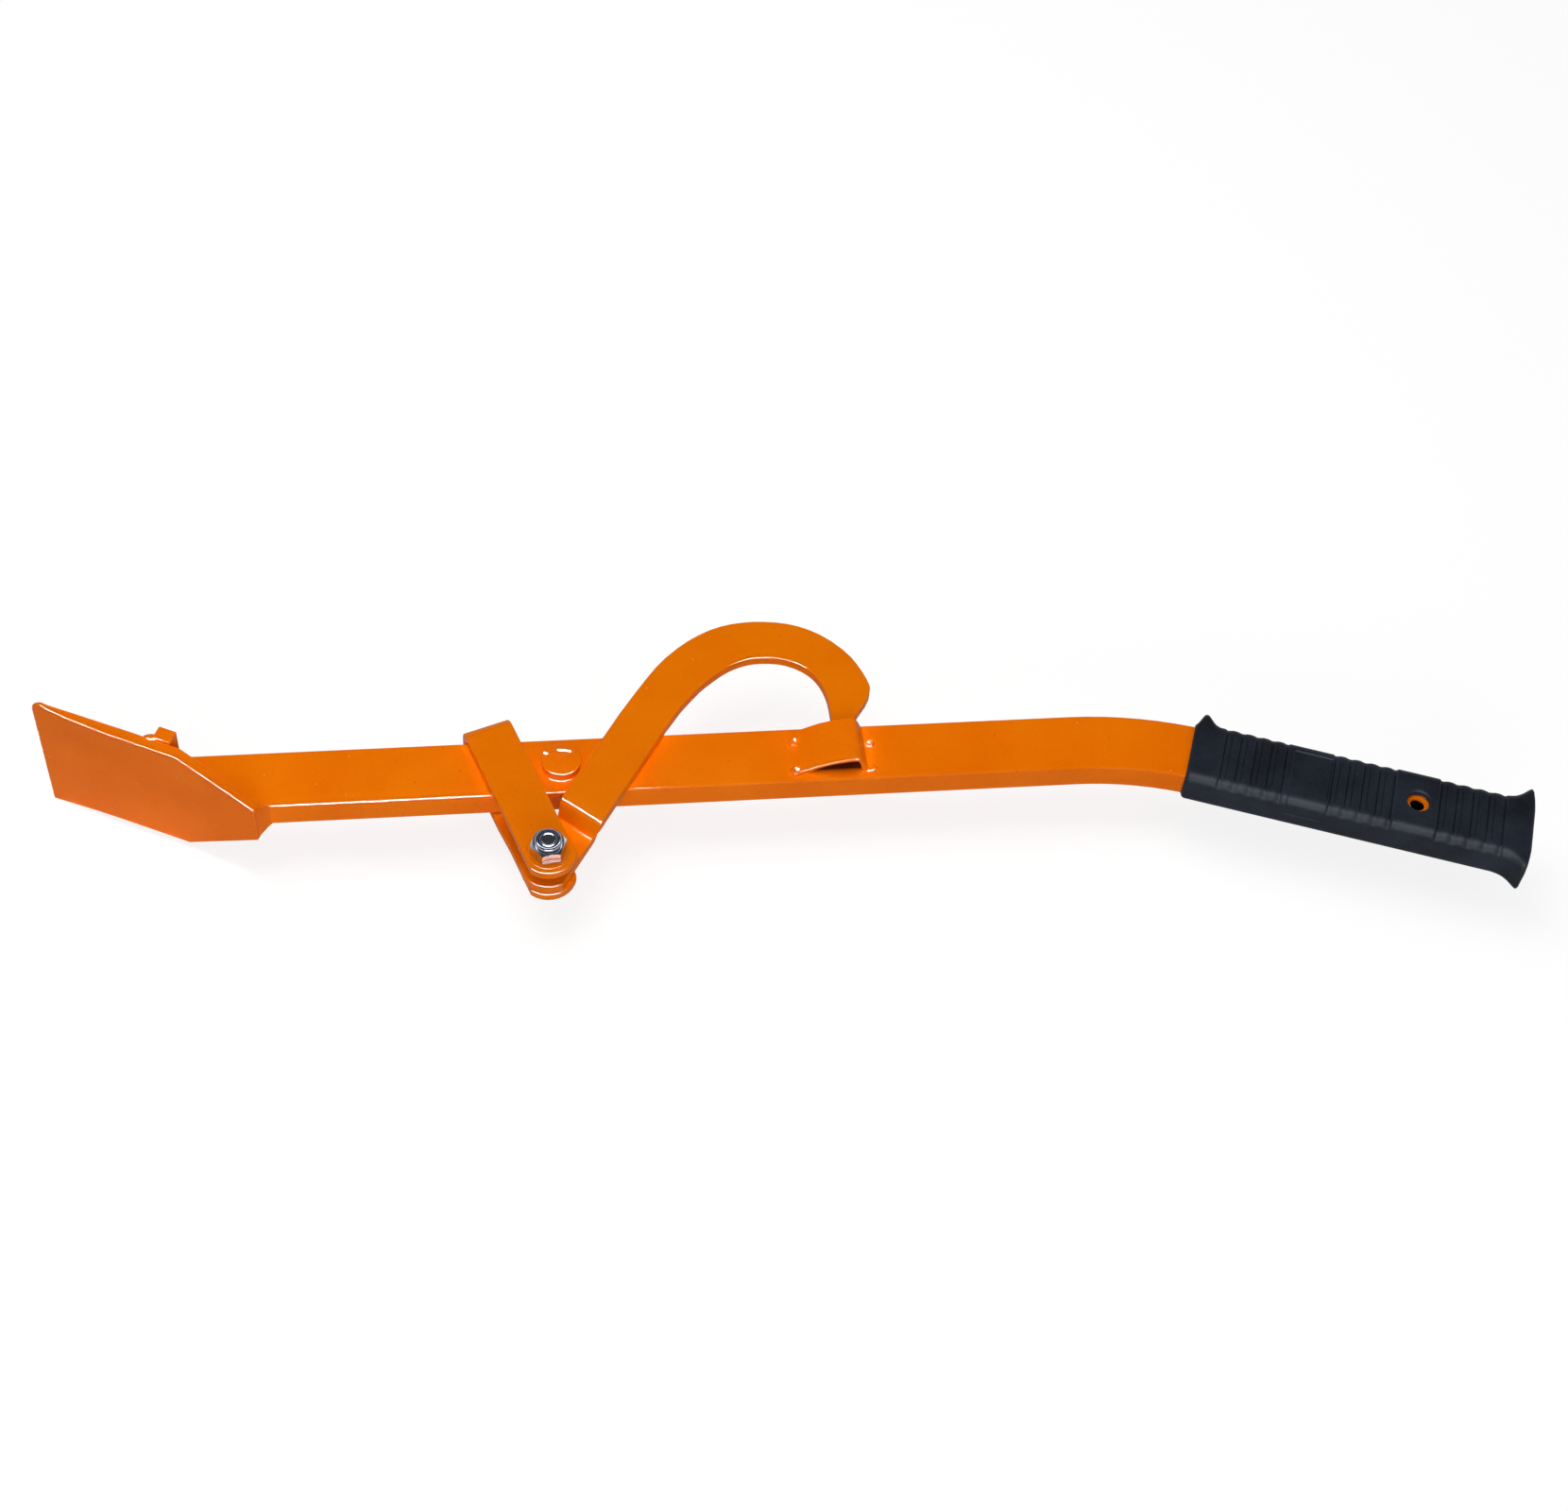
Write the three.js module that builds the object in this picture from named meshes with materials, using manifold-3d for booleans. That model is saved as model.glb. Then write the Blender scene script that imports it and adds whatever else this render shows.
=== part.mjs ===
// Felling lever with a turning hook, 80 cm class.
// A flat steel tube carries a welded felling blade at one end and a rubber grip on the bent other end.
// A loose U-shaped stirrup hangs on the tube and holds the turning hook on a bolt with a lock nut.
// The hook is stowed: its shank lies beside the stop button and its point lies under a welded keeper.
// Millimetres, +Z up. X runs along the tube towards the grip, and Z = 0 is the blade's lowest edge.
// Pieces are drawn with the stop button's axis at X = 0, Y = 0 and the tube's back at Z = 0, and the
// whole is then moved so that the origin lies under the middle of it. The working side is -Y.

import * as THREE from 'three';
import { ConvexGeometry } from 'three/addons/geometries/ConvexGeometry.js';
import { mergeVertices } from 'three/addons/utils/BufferGeometryUtils.js';
import Module from 'manifold-3d';

const wasm = await Module();
wasm.setup();

const DEG = Math.PI / 180;

// Shared by all pieces
const touchGap = 0.3; // left between welded or resting pieces
const ringPlay = 0.02; // rings of a loft that lie closer than this are one
const vertexPlay = 1e-4; // corners that lie closer than this are one
const overrun = 20; // how far a cutting solid passes the piece it cuts

// Tube: flat section, straight, then one edgewise bend into the grip
const tube = {
  width: 36,
  depth: 16,
  wall: 3,
  edgeRadius: 1.6,
  bendStart: 281.5, // from the button's axis
  bendRadius: 210, // to the tube's centreline
  bendAngle: 20.2 * DEG,
  tailLength: 171, // straight stretch after the bend
};

// Blade: a plate across the tube's end, standing square to the tube's wide faces, drawn out at its tip
const blade = {
  length: 126,
  thickness: 6.6,
  height: 77.4, // at the shoulder
  tipSpread: 4.2, // how far each long edge stands out at the tip
  spreadLength: 44, // from the tip, where the long edges begin to spread
  shoulderDistance: 83, // from the tip, where both long edges turn towards the root
  rootHeight: 26.2,
  tipFront: 1.3, // how far the front face falls back at the tip
  tipRear: 3.6, // how far the rear face comes forward at the tip
  taperLength: 50,
  tipCorner: 6,
  direction: 25.8 * DEG, // between the blade and the tube's axis
  rootX: -161.78, // the front face's root corner, from the stop button's axis
  rootDrop: 6.46, // how far that corner stands out past the tube's near side
};

const bladeRootY = -tube.width / 2 - blade.rootDrop;

// Heel rib: a bar up the blade's rear face, above and below the tube
const rib = { width: 10.2, depth: 8.2, tipDistance: 66.9, stand: 0.8, bead: 3.4 };

// Weld fillet between the blade's root end and the tube's near side
const rootWeld = { reach: 4.6 };

// Stop button on the tube's top face
const button = { radius: 10.2, height: 7, edge: 1.2, fillet: 0.8 };

const bolt = {
  radius: 5,
  headAcross: 17,
  headHeight: 6.4,
  headChamfer: 0.2, // how far inside its flats the turned face ends
  pointChamfer: 1,
  recess: 0.6, // how far its end lies below the lock nut's top
  clearance: 0.5,
};
const nut = {
  across: 17,
  hexHeight: 7.6,
  height: 10,
  collarRadius: 7.3,
  collarLip: 5.9,
  collarRound: 1.3,
  chamfer: 0.22,
  threadClearance: 0.15,
};
const lockRing = { wall: 1.1, clearance: 0.3, height: 1.7, below: 0.5 };

// Stirrup: a strap bent round the tube, its two legs ending round the pivot
const stirrup = {
  width: 26,
  thickness: 5,
  play: 1.5, // between the upper leg and the tube's top face
  lowPlay: 0.5, // between the lower leg and the tube's back
  webGap: 0.5, // between the web and the tube's far edge
  bendInside: 2.6,
  endRadius: 15,
  direction: 108.8 * DEG, // from the pivot towards the web
  joggle: 3, // how far the lower leg steps up on its way to the pivot
  joggleDistance: 22, // from the pivot along the leg
  joggleLength: 18,
};

// Turning hook: a cranked plate
const hook = {
  thickness: 6,
  width: 26.4,
  footWidth: 25, // round the pivot
  legGap: 1, // between the hook and the stirrup's lower leg
  overTube: 0.4, // between the hook's shank and the tube's top face
  direction: 57.4 * DEG, // shank, from the pivot
  offset: 2.4, // how far the shank's middle passes the pivot, on the side away from the button
  buttonDistance: 55.15, // from the pivot along the shank to the stop button
  buttonPlay: 2.3, // between the shank and the stop button
  crankDistance: 27, // from the pivot to the riser
  crankBend: 5, // outer radius of both crank bends
  crankLean: 3.5, // how far the riser leans outwards on its way up
  crankSkew: 8.5 * DEG, // how far the folds are turned from square to the shank
  endRadius: 14.6,
  reach: 182.5, // pivot to the nose, along X
  rise: 148.1, // pivot to the crown, along Y
  holeClearance: 0.6,
};

// The pivot's place, from the stop button: the shank lies beside the button
const pivotAcross = hook.width / 2 - hook.offset + button.radius + hook.buttonPlay;
const pivot = {
  x: pivotAcross * Math.sin(hook.direction) - hook.buttonDistance * Math.cos(hook.direction),
  y: -pivotAcross * Math.cos(hook.direction) - hook.buttonDistance * Math.sin(hook.direction),
};

// The hook's bow, as shares of its reach along X and its rise along Y from the pivot
const bowOuterShares = [
  [0.189, 0.5], [0.232, 0.583], [0.32, 0.738], [0.378, 0.828], [0.446, 0.904], [0.512, 0.956],
  [0.578, 0.988], [0.642, 1], [0.7, 1], [0.769, 0.987], [0.83, 0.958], [0.889, 0.909],
  [0.945, 0.834], [0.976, 0.764], [0.995, 0.699], [1, 0.665],
];
const bowInnerShares = [
  [0.367, 0.513], [0.399, 0.568], [0.426, 0.616], [0.461, 0.665], [0.49, 0.705], [0.525, 0.742],
  [0.562, 0.777], [0.595, 0.8], [0.628, 0.815], [0.66, 0.823], [0.698, 0.823], [0.736, 0.817],
  [0.772, 0.801], [0.808, 0.772], [0.834, 0.737], [0.852, 0.694], [0.862, 0.65], [0.867, 0.607],
  [0.868, 0.545],
];
// The point, from the bow's nose down its outer flank and back up its inner flank
const pointShares = [
  [0.994, 0.631], [0.98, 0.598], [0.951, 0.548], [0.93, 0.506], [0.893, 0.426], [0.884, 0.424],
  [0.867, 0.5],
];
// Where the keeper's far edge crosses the point's outer flank
const pointAtKeeperShare = 0.931;

// Keeper: a sheet bridge over the tube's top face that holds the hook's point down
const keeper = {
  length: 37.2,
  sheet: 2,
  headroom: 1.9, // between the hook and the sheet, at the crest
  pointPlay: 5.4, // from the hook's point, where it comes out, to the far end of the sheet's foot
  nearInset: 5.5, // from the tube's near edge
  farInset: 2.4, // from the tube's far edge
  weldRadius: 3.4,
  weldHeight: 1.8,
  weldOut: 1.6, // from the sheet's end to the drop's middle
  weldNearInset: 1.3,
  weldFarInset: 8.8,
};
// The keeper's top line from its blade end, as shares of its length and height
const keeperShares = [
  [0, 0.1], [0.06, 0.16], [0.19, 0.4], [0.33, 0.64], [0.48, 0.82], [0.625, 0.92],
  [0.75, 0.985], [0.83, 1], [0.88, 0.92], [0.93, 0.62], [1, 0.03],
];

// Grip: a moulded rubber sleeve with a closed end
const grip = {
  wall: 3.3,
  cornerRadius: 6,
  frontDistance: 9.5, // its front, before the end of the tube's bend
  frontRound: 2.6,
  endWall: 9,
  endRound: 2.4,
  groove: 0.9,
  guardStand: 6.8, // how far the front guard stands out on the far side
  guardLength: 13.7,
  flangeStand: 7.6, // how far the end flange stands out on the near side
  flangeFarStand: 8.4,
  flangeLength: 17,
  padRise: 0.4, // how far the field round the hanging hole stands above the ribs
  holeDistance: 116.6, // hanging hole, from the end of the tube's bend
  holeRadius: 6.2,
  tubeHoleRadius: 4.1,
  corner: 5, // points per rounded corner
};
// The front guard's and the end flange's outlines, from the grip's front or end: how far along, and
// how far they stand out
const guardShares = [
  [0, -0.24], [0.09, -0.06], [0.175, 0.38], [0.33, 1], [0.467, 0.91], [0.635, 0.46], [0.79, 0.15], [1, 0],
];
const flangeShares = [
  [0, -0.6], [0.03, 0], [0.08, 0.66], [0.14, 1], [0.265, 0.84], [0.42, 0.5], [0.62, 0.2], [0.82, 0.06],
  [1, 0],
];
// Rib groups, and the raised field: where each starts and ends, as a share of the grip's length
const ribGroupShares = [[0.0945, 0.2724], [0.412, 0.588], [0.7234, 0.908]];
const padShares = [0.592, 0.72];
const ribsInGroup = 4;
// One rib: how far along it, and how deep it lies there
const ribShares = [[0, 1], [0.14, 0.42], [0.34, 0.06], [0.5, 0], [0.66, 0.06], [0.86, 0.42], [1, 1]];

// Heights that follow from the sizes above
const tubeTop = tube.depth;
const blockMiddle = tube.depth / 2;
const topLegUnder = tubeTop + stirrup.play;
const topLegTop = topLegUnder + stirrup.thickness;
const lowLegTop = -stirrup.lowPlay + stirrup.joggle;
const lowLegUnder = lowLegTop - stirrup.thickness;
const hookLow = lowLegTop + hook.legGap;
const hookHigh = tubeTop + hook.overTube;
const hookTop = hookHigh + hook.thickness;

const paint = { roughness: 0.38, metalness: 0 };
const colours = {
  orange: new THREE.MeshStandardMaterial({ color: '#e9700a', ...paint }),
  zinc: new THREE.MeshStandardMaterial({ color: '#c9ccd4', roughness: 0.3, metalness: 1 }),
  rubber: new THREE.MeshStandardMaterial({ color: '#22262d', roughness: 0.7, metalness: 0 }),
  nylon: new THREE.MeshStandardMaterial({ color: '#3c4a66', roughness: 0.5, metalness: 0 }),
};

const lever = new THREE.Group();

// A closed three.js geometry as a manifold solid
function solid(geometry) {
  const bare = geometry.index ? geometry.toNonIndexed() : geometry.clone();
  bare.deleteAttribute('normal');
  bare.deleteAttribute('uv');
  const merged = mergeVertices(bare, vertexPlay);
  const vertProperties = new Float32Array(merged.attributes.position.array);
  const triVerts = new Uint32Array(merged.index.array);
  return new wasm.Manifold(new wasm.Mesh({ numProp: 3, vertProperties, triVerts }));
}

// A manifold solid as a three.js geometry
function geometryOf(body) {
  const mesh = body.getMesh();
  const geometry = new THREE.BufferGeometry();
  geometry.setAttribute('position', new THREE.BufferAttribute(mesh.vertProperties, 3));
  geometry.setIndex(new THREE.BufferAttribute(mesh.triVerts, 1));
  geometry.computeVertexNormals();
  return geometry;
}

function addPiece(name, body, material, parent = lever) {
  const mesh = new THREE.Mesh(geometryOf(body), material);
  mesh.name = name;
  parent.add(mesh);
  return mesh;
}

function shapeOf(points) {
  return new THREE.Shape(points.map(([x, y]) => new THREE.Vector2(x, y)));
}

// An outline in the XY plane as a plate from one height to another
function plate(shape, low, high, curveSegments = 12) {
  const geometry = new THREE.ExtrudeGeometry(shape, {
    depth: high - low,
    bevelEnabled: false,
    curveSegments,
  });
  geometry.translate(0, 0, low);
  return solid(geometry);
}

// A profile of (along, height) points, pushed sideways by its width, centred on the along axis
function profileBar(points, width) {
  const geometry = new THREE.ExtrudeGeometry(shapeOf(points), { depth: width, bevelEnabled: false });
  geometry.translate(0, 0, -width / 2);
  geometry.rotateX(Math.PI / 2);
  return solid(geometry);
}

function cylinder(radius, low, high, segments = 32) {
  const geometry = new THREE.CylinderGeometry(radius, radius, high - low, segments);
  geometry.rotateX(Math.PI / 2);
  geometry.translate(0, 0, (low + high) / 2);
  return solid(geometry);
}

// A turned body about Z, from (radius, height) points that start and end on the axis
function turned(points, segments = 36) {
  const profile = points.map(([r, z]) => new THREE.Vector2(r, z));
  const geometry = new THREE.LatheGeometry(profile, segments);
  geometry.rotateX(Math.PI / 2);
  return solid(geometry);
}

// Points on an arc, from one angle to another
function arcPoints(x, y, radius, from, to, steps) {
  return Array.from({ length: steps + 1 }, (_, i) => {
    const angle = from + ((to - from) * i) / steps;
    return [x + radius * Math.cos(angle), y + radius * Math.sin(angle)];
  });
}

// Skins a row of rings with the same number of points, and closes both ends
function loft(rings) {
  const count = rings[0].length;
  const positions = rings.flat().flatMap((p) => [p.x, p.y, p.z]);
  const indices = [];
  for (let r = 0; r + 1 < rings.length; r += 1) {
    for (let i = 0; i < count; i += 1) {
      const a = r * count + i;
      const b = r * count + ((i + 1) % count);
      indices.push(a, b, b + count, a, b + count, a + count);
    }
  }
  const capTriangles = (ring, base, flip) => {
    const middle = ring.reduce((sum, p) => sum.add(p), new THREE.Vector3()).divideScalar(count);
    const u = ring[0].clone().sub(middle).normalize();
    const normal = ringNormal(ring);
    const v = normal.clone().cross(u);
    const flat = ring.map((p) => {
      const d = p.clone().sub(middle);
      return new THREE.Vector2(d.dot(u), d.dot(v));
    });
    for (const [a, b, c] of THREE.ShapeUtils.triangulateShape(flat, [])) {
      indices.push(base + a, base + (flip ? c : b), base + (flip ? b : c));
    }
  };
  capTriangles(rings[0], 0, true);
  capTriangles(rings[rings.length - 1], (rings.length - 1) * count, false);
  const geometry = new THREE.BufferGeometry();
  geometry.setAttribute('position', new THREE.Float32BufferAttribute(positions, 3));
  geometry.setIndex(indices);
  return solid(geometry);
}

// The normal of a flat ring, by the sum of its corners' cross products
function ringNormal(ring) {
  const normal = new THREE.Vector3();
  ring.forEach((p, i) => normal.add(p.clone().cross(ring[(i + 1) % ring.length])));
  return normal.normalize();
}

const bendRun = tube.bendRadius * tube.bendAngle;
const bendSteps = 8;

// The tube's centreline: a place and a heading at a run from the bend's start
function tubeLine(run) {
  if (run <= 0) return { x: tube.bendStart + run, y: 0, heading: 0 };
  const turn = Math.min(run / tube.bendRadius, tube.bendAngle);
  const past = Math.max(run - bendRun, 0);
  return {
    x: tube.bendStart + tube.bendRadius * Math.sin(turn) + past * Math.cos(turn),
    y: -tube.bendRadius * (1 - Math.cos(turn)) - past * Math.sin(turn),
    heading: -turn,
  };
}

// The straight stretch after the bend, also drawn on before the bend's end
function tailLine(distance) {
  const { x, y, heading } = tubeLine(bendRun);
  return { x: x + distance * Math.cos(heading), y: y + distance * Math.sin(heading), heading };
}

const tubeEndRun = bendRun + tube.tailLength;

// A rounded rectangle across a line at one of its places, as a ring of points
function sectionRing(at, { near, far, low, high, radius, perCorner }) {
  const corners = [
    [far - radius, high - radius, 0],
    [near + radius, high - radius, 1],
    [near + radius, low + radius, 2],
    [far - radius, low + radius, 3],
  ];
  const ring = [];
  for (const [y, z, quarter] of corners) {
    const from = (quarter * Math.PI) / 2;
    for (const [py, pz] of arcPoints(y, z, radius, from, from + Math.PI / 2, perCorner - 1)) {
      ring.push(new THREE.Vector3(
        at.x - py * Math.sin(at.heading),
        at.y + py * Math.cos(at.heading),
        pz,
      ));
    }
  }
  return ring;
}

// The tube's section, grown outwards by a margin, swept between two runs
function tubeSweep(fromRun, toRun, margin) {
  const bendRuns = [];
  for (let step = 0; step <= bendSteps; step += 1) bendRuns.push((bendRun * step) / bendSteps);
  const runs = [fromRun, ...bendRuns.filter((run) => run > fromRun && run < toRun), toRun];
  const section = {
    near: -tube.width / 2 - margin,
    far: tube.width / 2 + margin,
    low: -margin,
    high: tube.depth + margin,
    radius: Math.max(tube.edgeRadius + margin, tube.edgeRadius / 4),
    perCorner: 4,
  };
  return loft(runs.map((run) => sectionRing(tubeLine(run), section)));
}

// Blade coordinates: along from the tip, height about the tube's middle, depth behind the front face
const bladeFrame = new THREE.Matrix4().makeBasis(
  new THREE.Vector3(Math.cos(blade.direction), -Math.sin(blade.direction), 0),
  new THREE.Vector3(0, 0, 1),
  new THREE.Vector3(-Math.sin(blade.direction), -Math.cos(blade.direction), 0),
);
bladeFrame.setPosition(
  blade.rootX - blade.length * Math.cos(blade.direction),
  bladeRootY + blade.length * Math.sin(blade.direction),
  blockMiddle,
);

// A solid drawn in blade coordinates, with its depth growing away from the front face
function onBlade(body) {
  return body.transform(bladeFrame.elements);
}

// The blade's taper and spread: how far along their run, and how much of them is left there
const taperShares = [[0, 1], [0.2, 0.66], [0.42, 0.37], [0.7, 0.12], [1, 0]];
const spreadShares = [[0, 1], [0.2, 0.7], [0.45, 0.38], [0.72, 0.12], [1, 0]];

function makeBlade() {
  const half = blade.height / 2;
  const tip = half + blade.tipSpread;
  const root = blade.rootHeight / 2;
  const corner = blade.tipCorner;
  const spread = spreadShares.map(([a, b]) => [a * blade.spreadLength, half + b * blade.tipSpread]);
  const outline = shapeOf([
    ...spread.map(([along, height]) => [along, -height]),
    [blade.shoulderDistance, -half],
    [blade.length, -root],
    [blade.length, root],
    [blade.shoulderDistance, half],
    ...spread.slice(1).reverse(),
    ...arcPoints(corner, tip - corner, corner, Math.PI / 2, Math.PI, 6),
  ]);
  const slab = plate(outline, -blade.thickness, 0);
  // The taper towards the tip, as seen along the blade's edge
  const rear = taperShares.map(([a, b]) => [
    a * blade.taperLength,
    b * blade.tipRear - blade.thickness,
  ]);
  const front = taperShares.map(([a, b]) => [a * blade.taperLength, -b * blade.tipFront]);
  const taper = shapeOf([
    ...rear,
    [blade.length + overrun, -blade.thickness],
    [blade.length + overrun, 0],
    ...front.reverse(),
  ]);
  const wedge = plate(taper, -tip - overrun, tip + overrun).rotate([90, 0, 0]);
  return onBlade(slab.intersect(wedge));
}

function makeRib(side) {
  const inner = blockMiddle + touchGap;
  const outer = blade.height / 2 + rib.stand;
  const low = side > 0 ? inner : -outer;
  const high = side > 0 ? outer : -inner;
  const outline = shapeOf([
    [rib.tipDistance, low],
    [rib.tipDistance + rib.width, low],
    [rib.tipDistance + rib.width, high],
    [rib.tipDistance, high],
  ]);
  const back = -blade.thickness - touchGap;
  return onBlade(plate(outline, back - rib.depth, back));
}

// The bead's crest and its foot on the blade, as shares of its size
const beadCrestShare = 0.72;
const beadFootShare = 1.6;

// A bead in the corner between the blade's rear face and the rib's tip side
function makeRibBead(side) {
  const inner = blockMiddle + touchGap;
  const outer = blade.height / 2 - rib.bead / 2;
  const low = side > 0 ? inner : -outer;
  const high = side > 0 ? outer : -inner;
  const back = -blade.thickness - touchGap;
  const edge = rib.tipDistance - touchGap;
  const section = [
    [edge, back],
    [edge, back - rib.bead],
    [edge - rib.bead * beadCrestShare, back - rib.bead * beadCrestShare],
    [edge - rib.bead * beadFootShare, back],
  ];
  const points = section.flatMap(([along, depth]) => [
    new THREE.Vector3(along, low, depth),
    new THREE.Vector3(along, high, depth),
  ]);
  return onBlade(solid(new ConvexGeometry(points)));
}

// The fillet that joins the blade's root end to the tube's near side
function makeRootWeld() {
  const end = new THREE.Vector3();
  const bladePoint = (depth, height) => end
    .set(blade.length + touchGap, height, depth).applyMatrix4(bladeFrame).clone();
  const rootHalf = blade.rootHeight / 2 - touchGap;
  const side = -tube.width / 2 - touchGap;
  const reach = bladePoint(-blade.thickness, 0).x + rootWeld.reach;
  const points = [];
  for (const sign of [-1, 1]) {
    points.push(bladePoint(-touchGap, sign * rootHalf));
    const rear = bladePoint(-blade.thickness, sign * rootHalf);
    points.push(new THREE.Vector3(rear.x, Math.min(rear.y, side), rear.z));
    const tubeEdge = blockMiddle + sign * (blockMiddle - touchGap);
    points.push(new THREE.Vector3(reach, side, tubeEdge));
  }
  return solid(new ConvexGeometry(points));
}

function makeTube() {
  const startRun = blade.rootX - blade.length - tube.bendStart;
  const outer = tubeSweep(startRun, tubeEndRun, 0);
  const inner = tubeSweep(startRun - overrun, tubeEndRun + overrun, -tube.wall);
  // Everything from a little behind the blade's rear face forwards is cut away
  const reach = blade.length + tube.width;
  const cutShape = shapeOf([
    [-reach, -reach],
    [blade.length + reach, -reach],
    [blade.length + reach, reach],
    [-reach, reach],
  ]);
  const diagonal = onBlade(plate(cutShape, -blade.thickness - touchGap, reach));
  const at = tailLine(grip.holeDistance);
  const hole = cylinder(grip.tubeHoleRadius, -overrun, tube.depth + overrun, 24)
    .translate([at.x, at.y, 0]);
  return outer.subtract(inner).subtract(diagonal).subtract(hole);
}

function makeButton() {
  const { radius, height, edge, fillet } = button;
  const foot = tubeTop + touchGap;
  const top = tubeTop + height;
  const profile = [
    [0, foot],
    [radius + fillet, foot],
    ...arcPoints(radius + fillet, foot + fillet, fillet, -Math.PI / 2, -Math.PI, 4).slice(1),
    ...arcPoints(radius - edge, top - edge, edge, 0, Math.PI / 2, 4),
    [0, top],
  ];
  return turned(profile);
}

// Offsets an open line of points to its right-hand side
function offsetLine(points, distance) {
  return points.map(([x, y], i) => {
    const before = points[Math.max(i - 1, 0)];
    const after = points[Math.min(i + 1, points.length - 1)];
    const unit = (a, b) => {
      const length = Math.hypot(b[0] - a[0], b[1] - a[1]);
      return [(b[1] - a[1]) / length, -(b[0] - a[0]) / length];
    };
    const first = i > 0 ? unit(before, [x, y]) : unit([x, y], after);
    const second = i + 1 < points.length ? unit([x, y], after) : first;
    const bend = 1 + first[0] * second[0] + first[1] * second[1];
    return [
      x + (distance * (first[0] + second[0])) / bend,
      y + (distance * (first[1] + second[1])) / bend,
    ];
  });
}

const keeperRight = pivot.x + pointAtKeeperShare * hook.reach + keeper.pointPlay;
const keeperLeft = keeperRight - keeper.length;
const keeperHeight = hook.overTube + hook.thickness + keeper.headroom + keeper.sheet;
const keeperNear = -tube.width / 2 + keeper.nearInset;
const keeperFar = tube.width / 2 - keeper.farInset;

function makeKeeper() {
  const foot = tubeTop + touchGap;
  const top = keeperShares.map(([a, b]) => [
    keeperLeft + a * keeper.length,
    tubeTop + b * keeperHeight,
  ]);
  const under = offsetLine(top, keeper.sheet).filter(([x, z]) => z > foot && x < keeperRight);
  const first = under[0];
  const last = under[under.length - 1];
  const outline = [
    ...top.slice(0, -1),
    [keeperRight, foot],
    [last[0] + (keeperRight - last[0]) / 4, foot],
    ...under.reverse(),
    [first[0] - keeper.sheet, foot],
    [keeperLeft, foot],
  ];
  return profileBar(outline.reverse(), keeperFar - keeperNear)
    .translate([0, (keeperFar + keeperNear) / 2, 0]);
}

// A weld drop from its foot to its top, as shares of its radius and its height
const dropShares = [[1, 0], [0.8, 0.6], [0.4, 0.94], [0, 1]];

// A round weld drop on the tube, beside one end of the keeper
function makeKeeperWeld(side, y) {
  const edge = side < 0 ? keeperLeft : keeperRight;
  const foot = tubeTop + touchGap;
  const top = foot + keeper.weldHeight;
  const flank = dropShares.map(([a, b]) => [a * keeper.weldRadius, foot + b * keeper.weldHeight]);
  const drop = turned([[0, foot], ...flank], 16)
    .translate([edge + side * keeper.weldOut, y, 0]);
  const clear = edge + side * touchGap;
  const spread = keeper.weldRadius * 2;
  const keep = shapeOf([
    [clear, y - spread],
    [clear, y + spread],
    [clear + side * spread, y + spread],
    [clear + side * spread, y - spread],
  ]);
  return drop.intersect(plate(keep, 0, top + overrun));
}

// Points that round the corner at b on the way from a to c
function roundCorner(a, b, c, radius, steps = 5) {
  const [ax, ay] = [a[0] - b[0], a[1] - b[1]];
  const [cx, cy] = [c[0] - b[0], c[1] - b[1]];
  const [al, cl] = [Math.hypot(ax, ay), Math.hypot(cx, cy)];
  const half = Math.acos((ax * cx + ay * cy) / (al * cl)) / 2;
  const back = radius / Math.tan(half);
  const out = radius / Math.sin(half);
  const [mx, my] = [ax / al + cx / cl, ay / al + cy / cl];
  const ml = Math.hypot(mx, my);
  const centre = [b[0] + (mx / ml) * out, b[1] + (my / ml) * out];
  const start = [b[0] + (ax / al) * back, b[1] + (ay / al) * back];
  const end = [b[0] + (cx / cl) * back, b[1] + (cy / cl) * back];
  const from = Math.atan2(start[1] - centre[1], start[0] - centre[0]);
  let turn = Math.atan2(end[1] - centre[1], end[0] - centre[0]) - from;
  turn -= Math.round(turn / (2 * Math.PI)) * 2 * Math.PI;
  return arcPoints(centre[0], centre[1], radius, from, from + turn, steps);
}

// Strap outline: straight edges, and an end turned about the pivot
function roundEnd(halfLeft, halfRight, radius, steps = 10) {
  const leftAt = Math.atan2(halfLeft, -Math.sqrt(radius ** 2 - halfLeft ** 2));
  const rightAt = Math.atan2(-halfRight, -Math.sqrt(radius ** 2 - halfRight ** 2)) + 2 * Math.PI;
  return arcPoints(0, 0, radius, leftAt, rightAt, steps);
}

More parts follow.
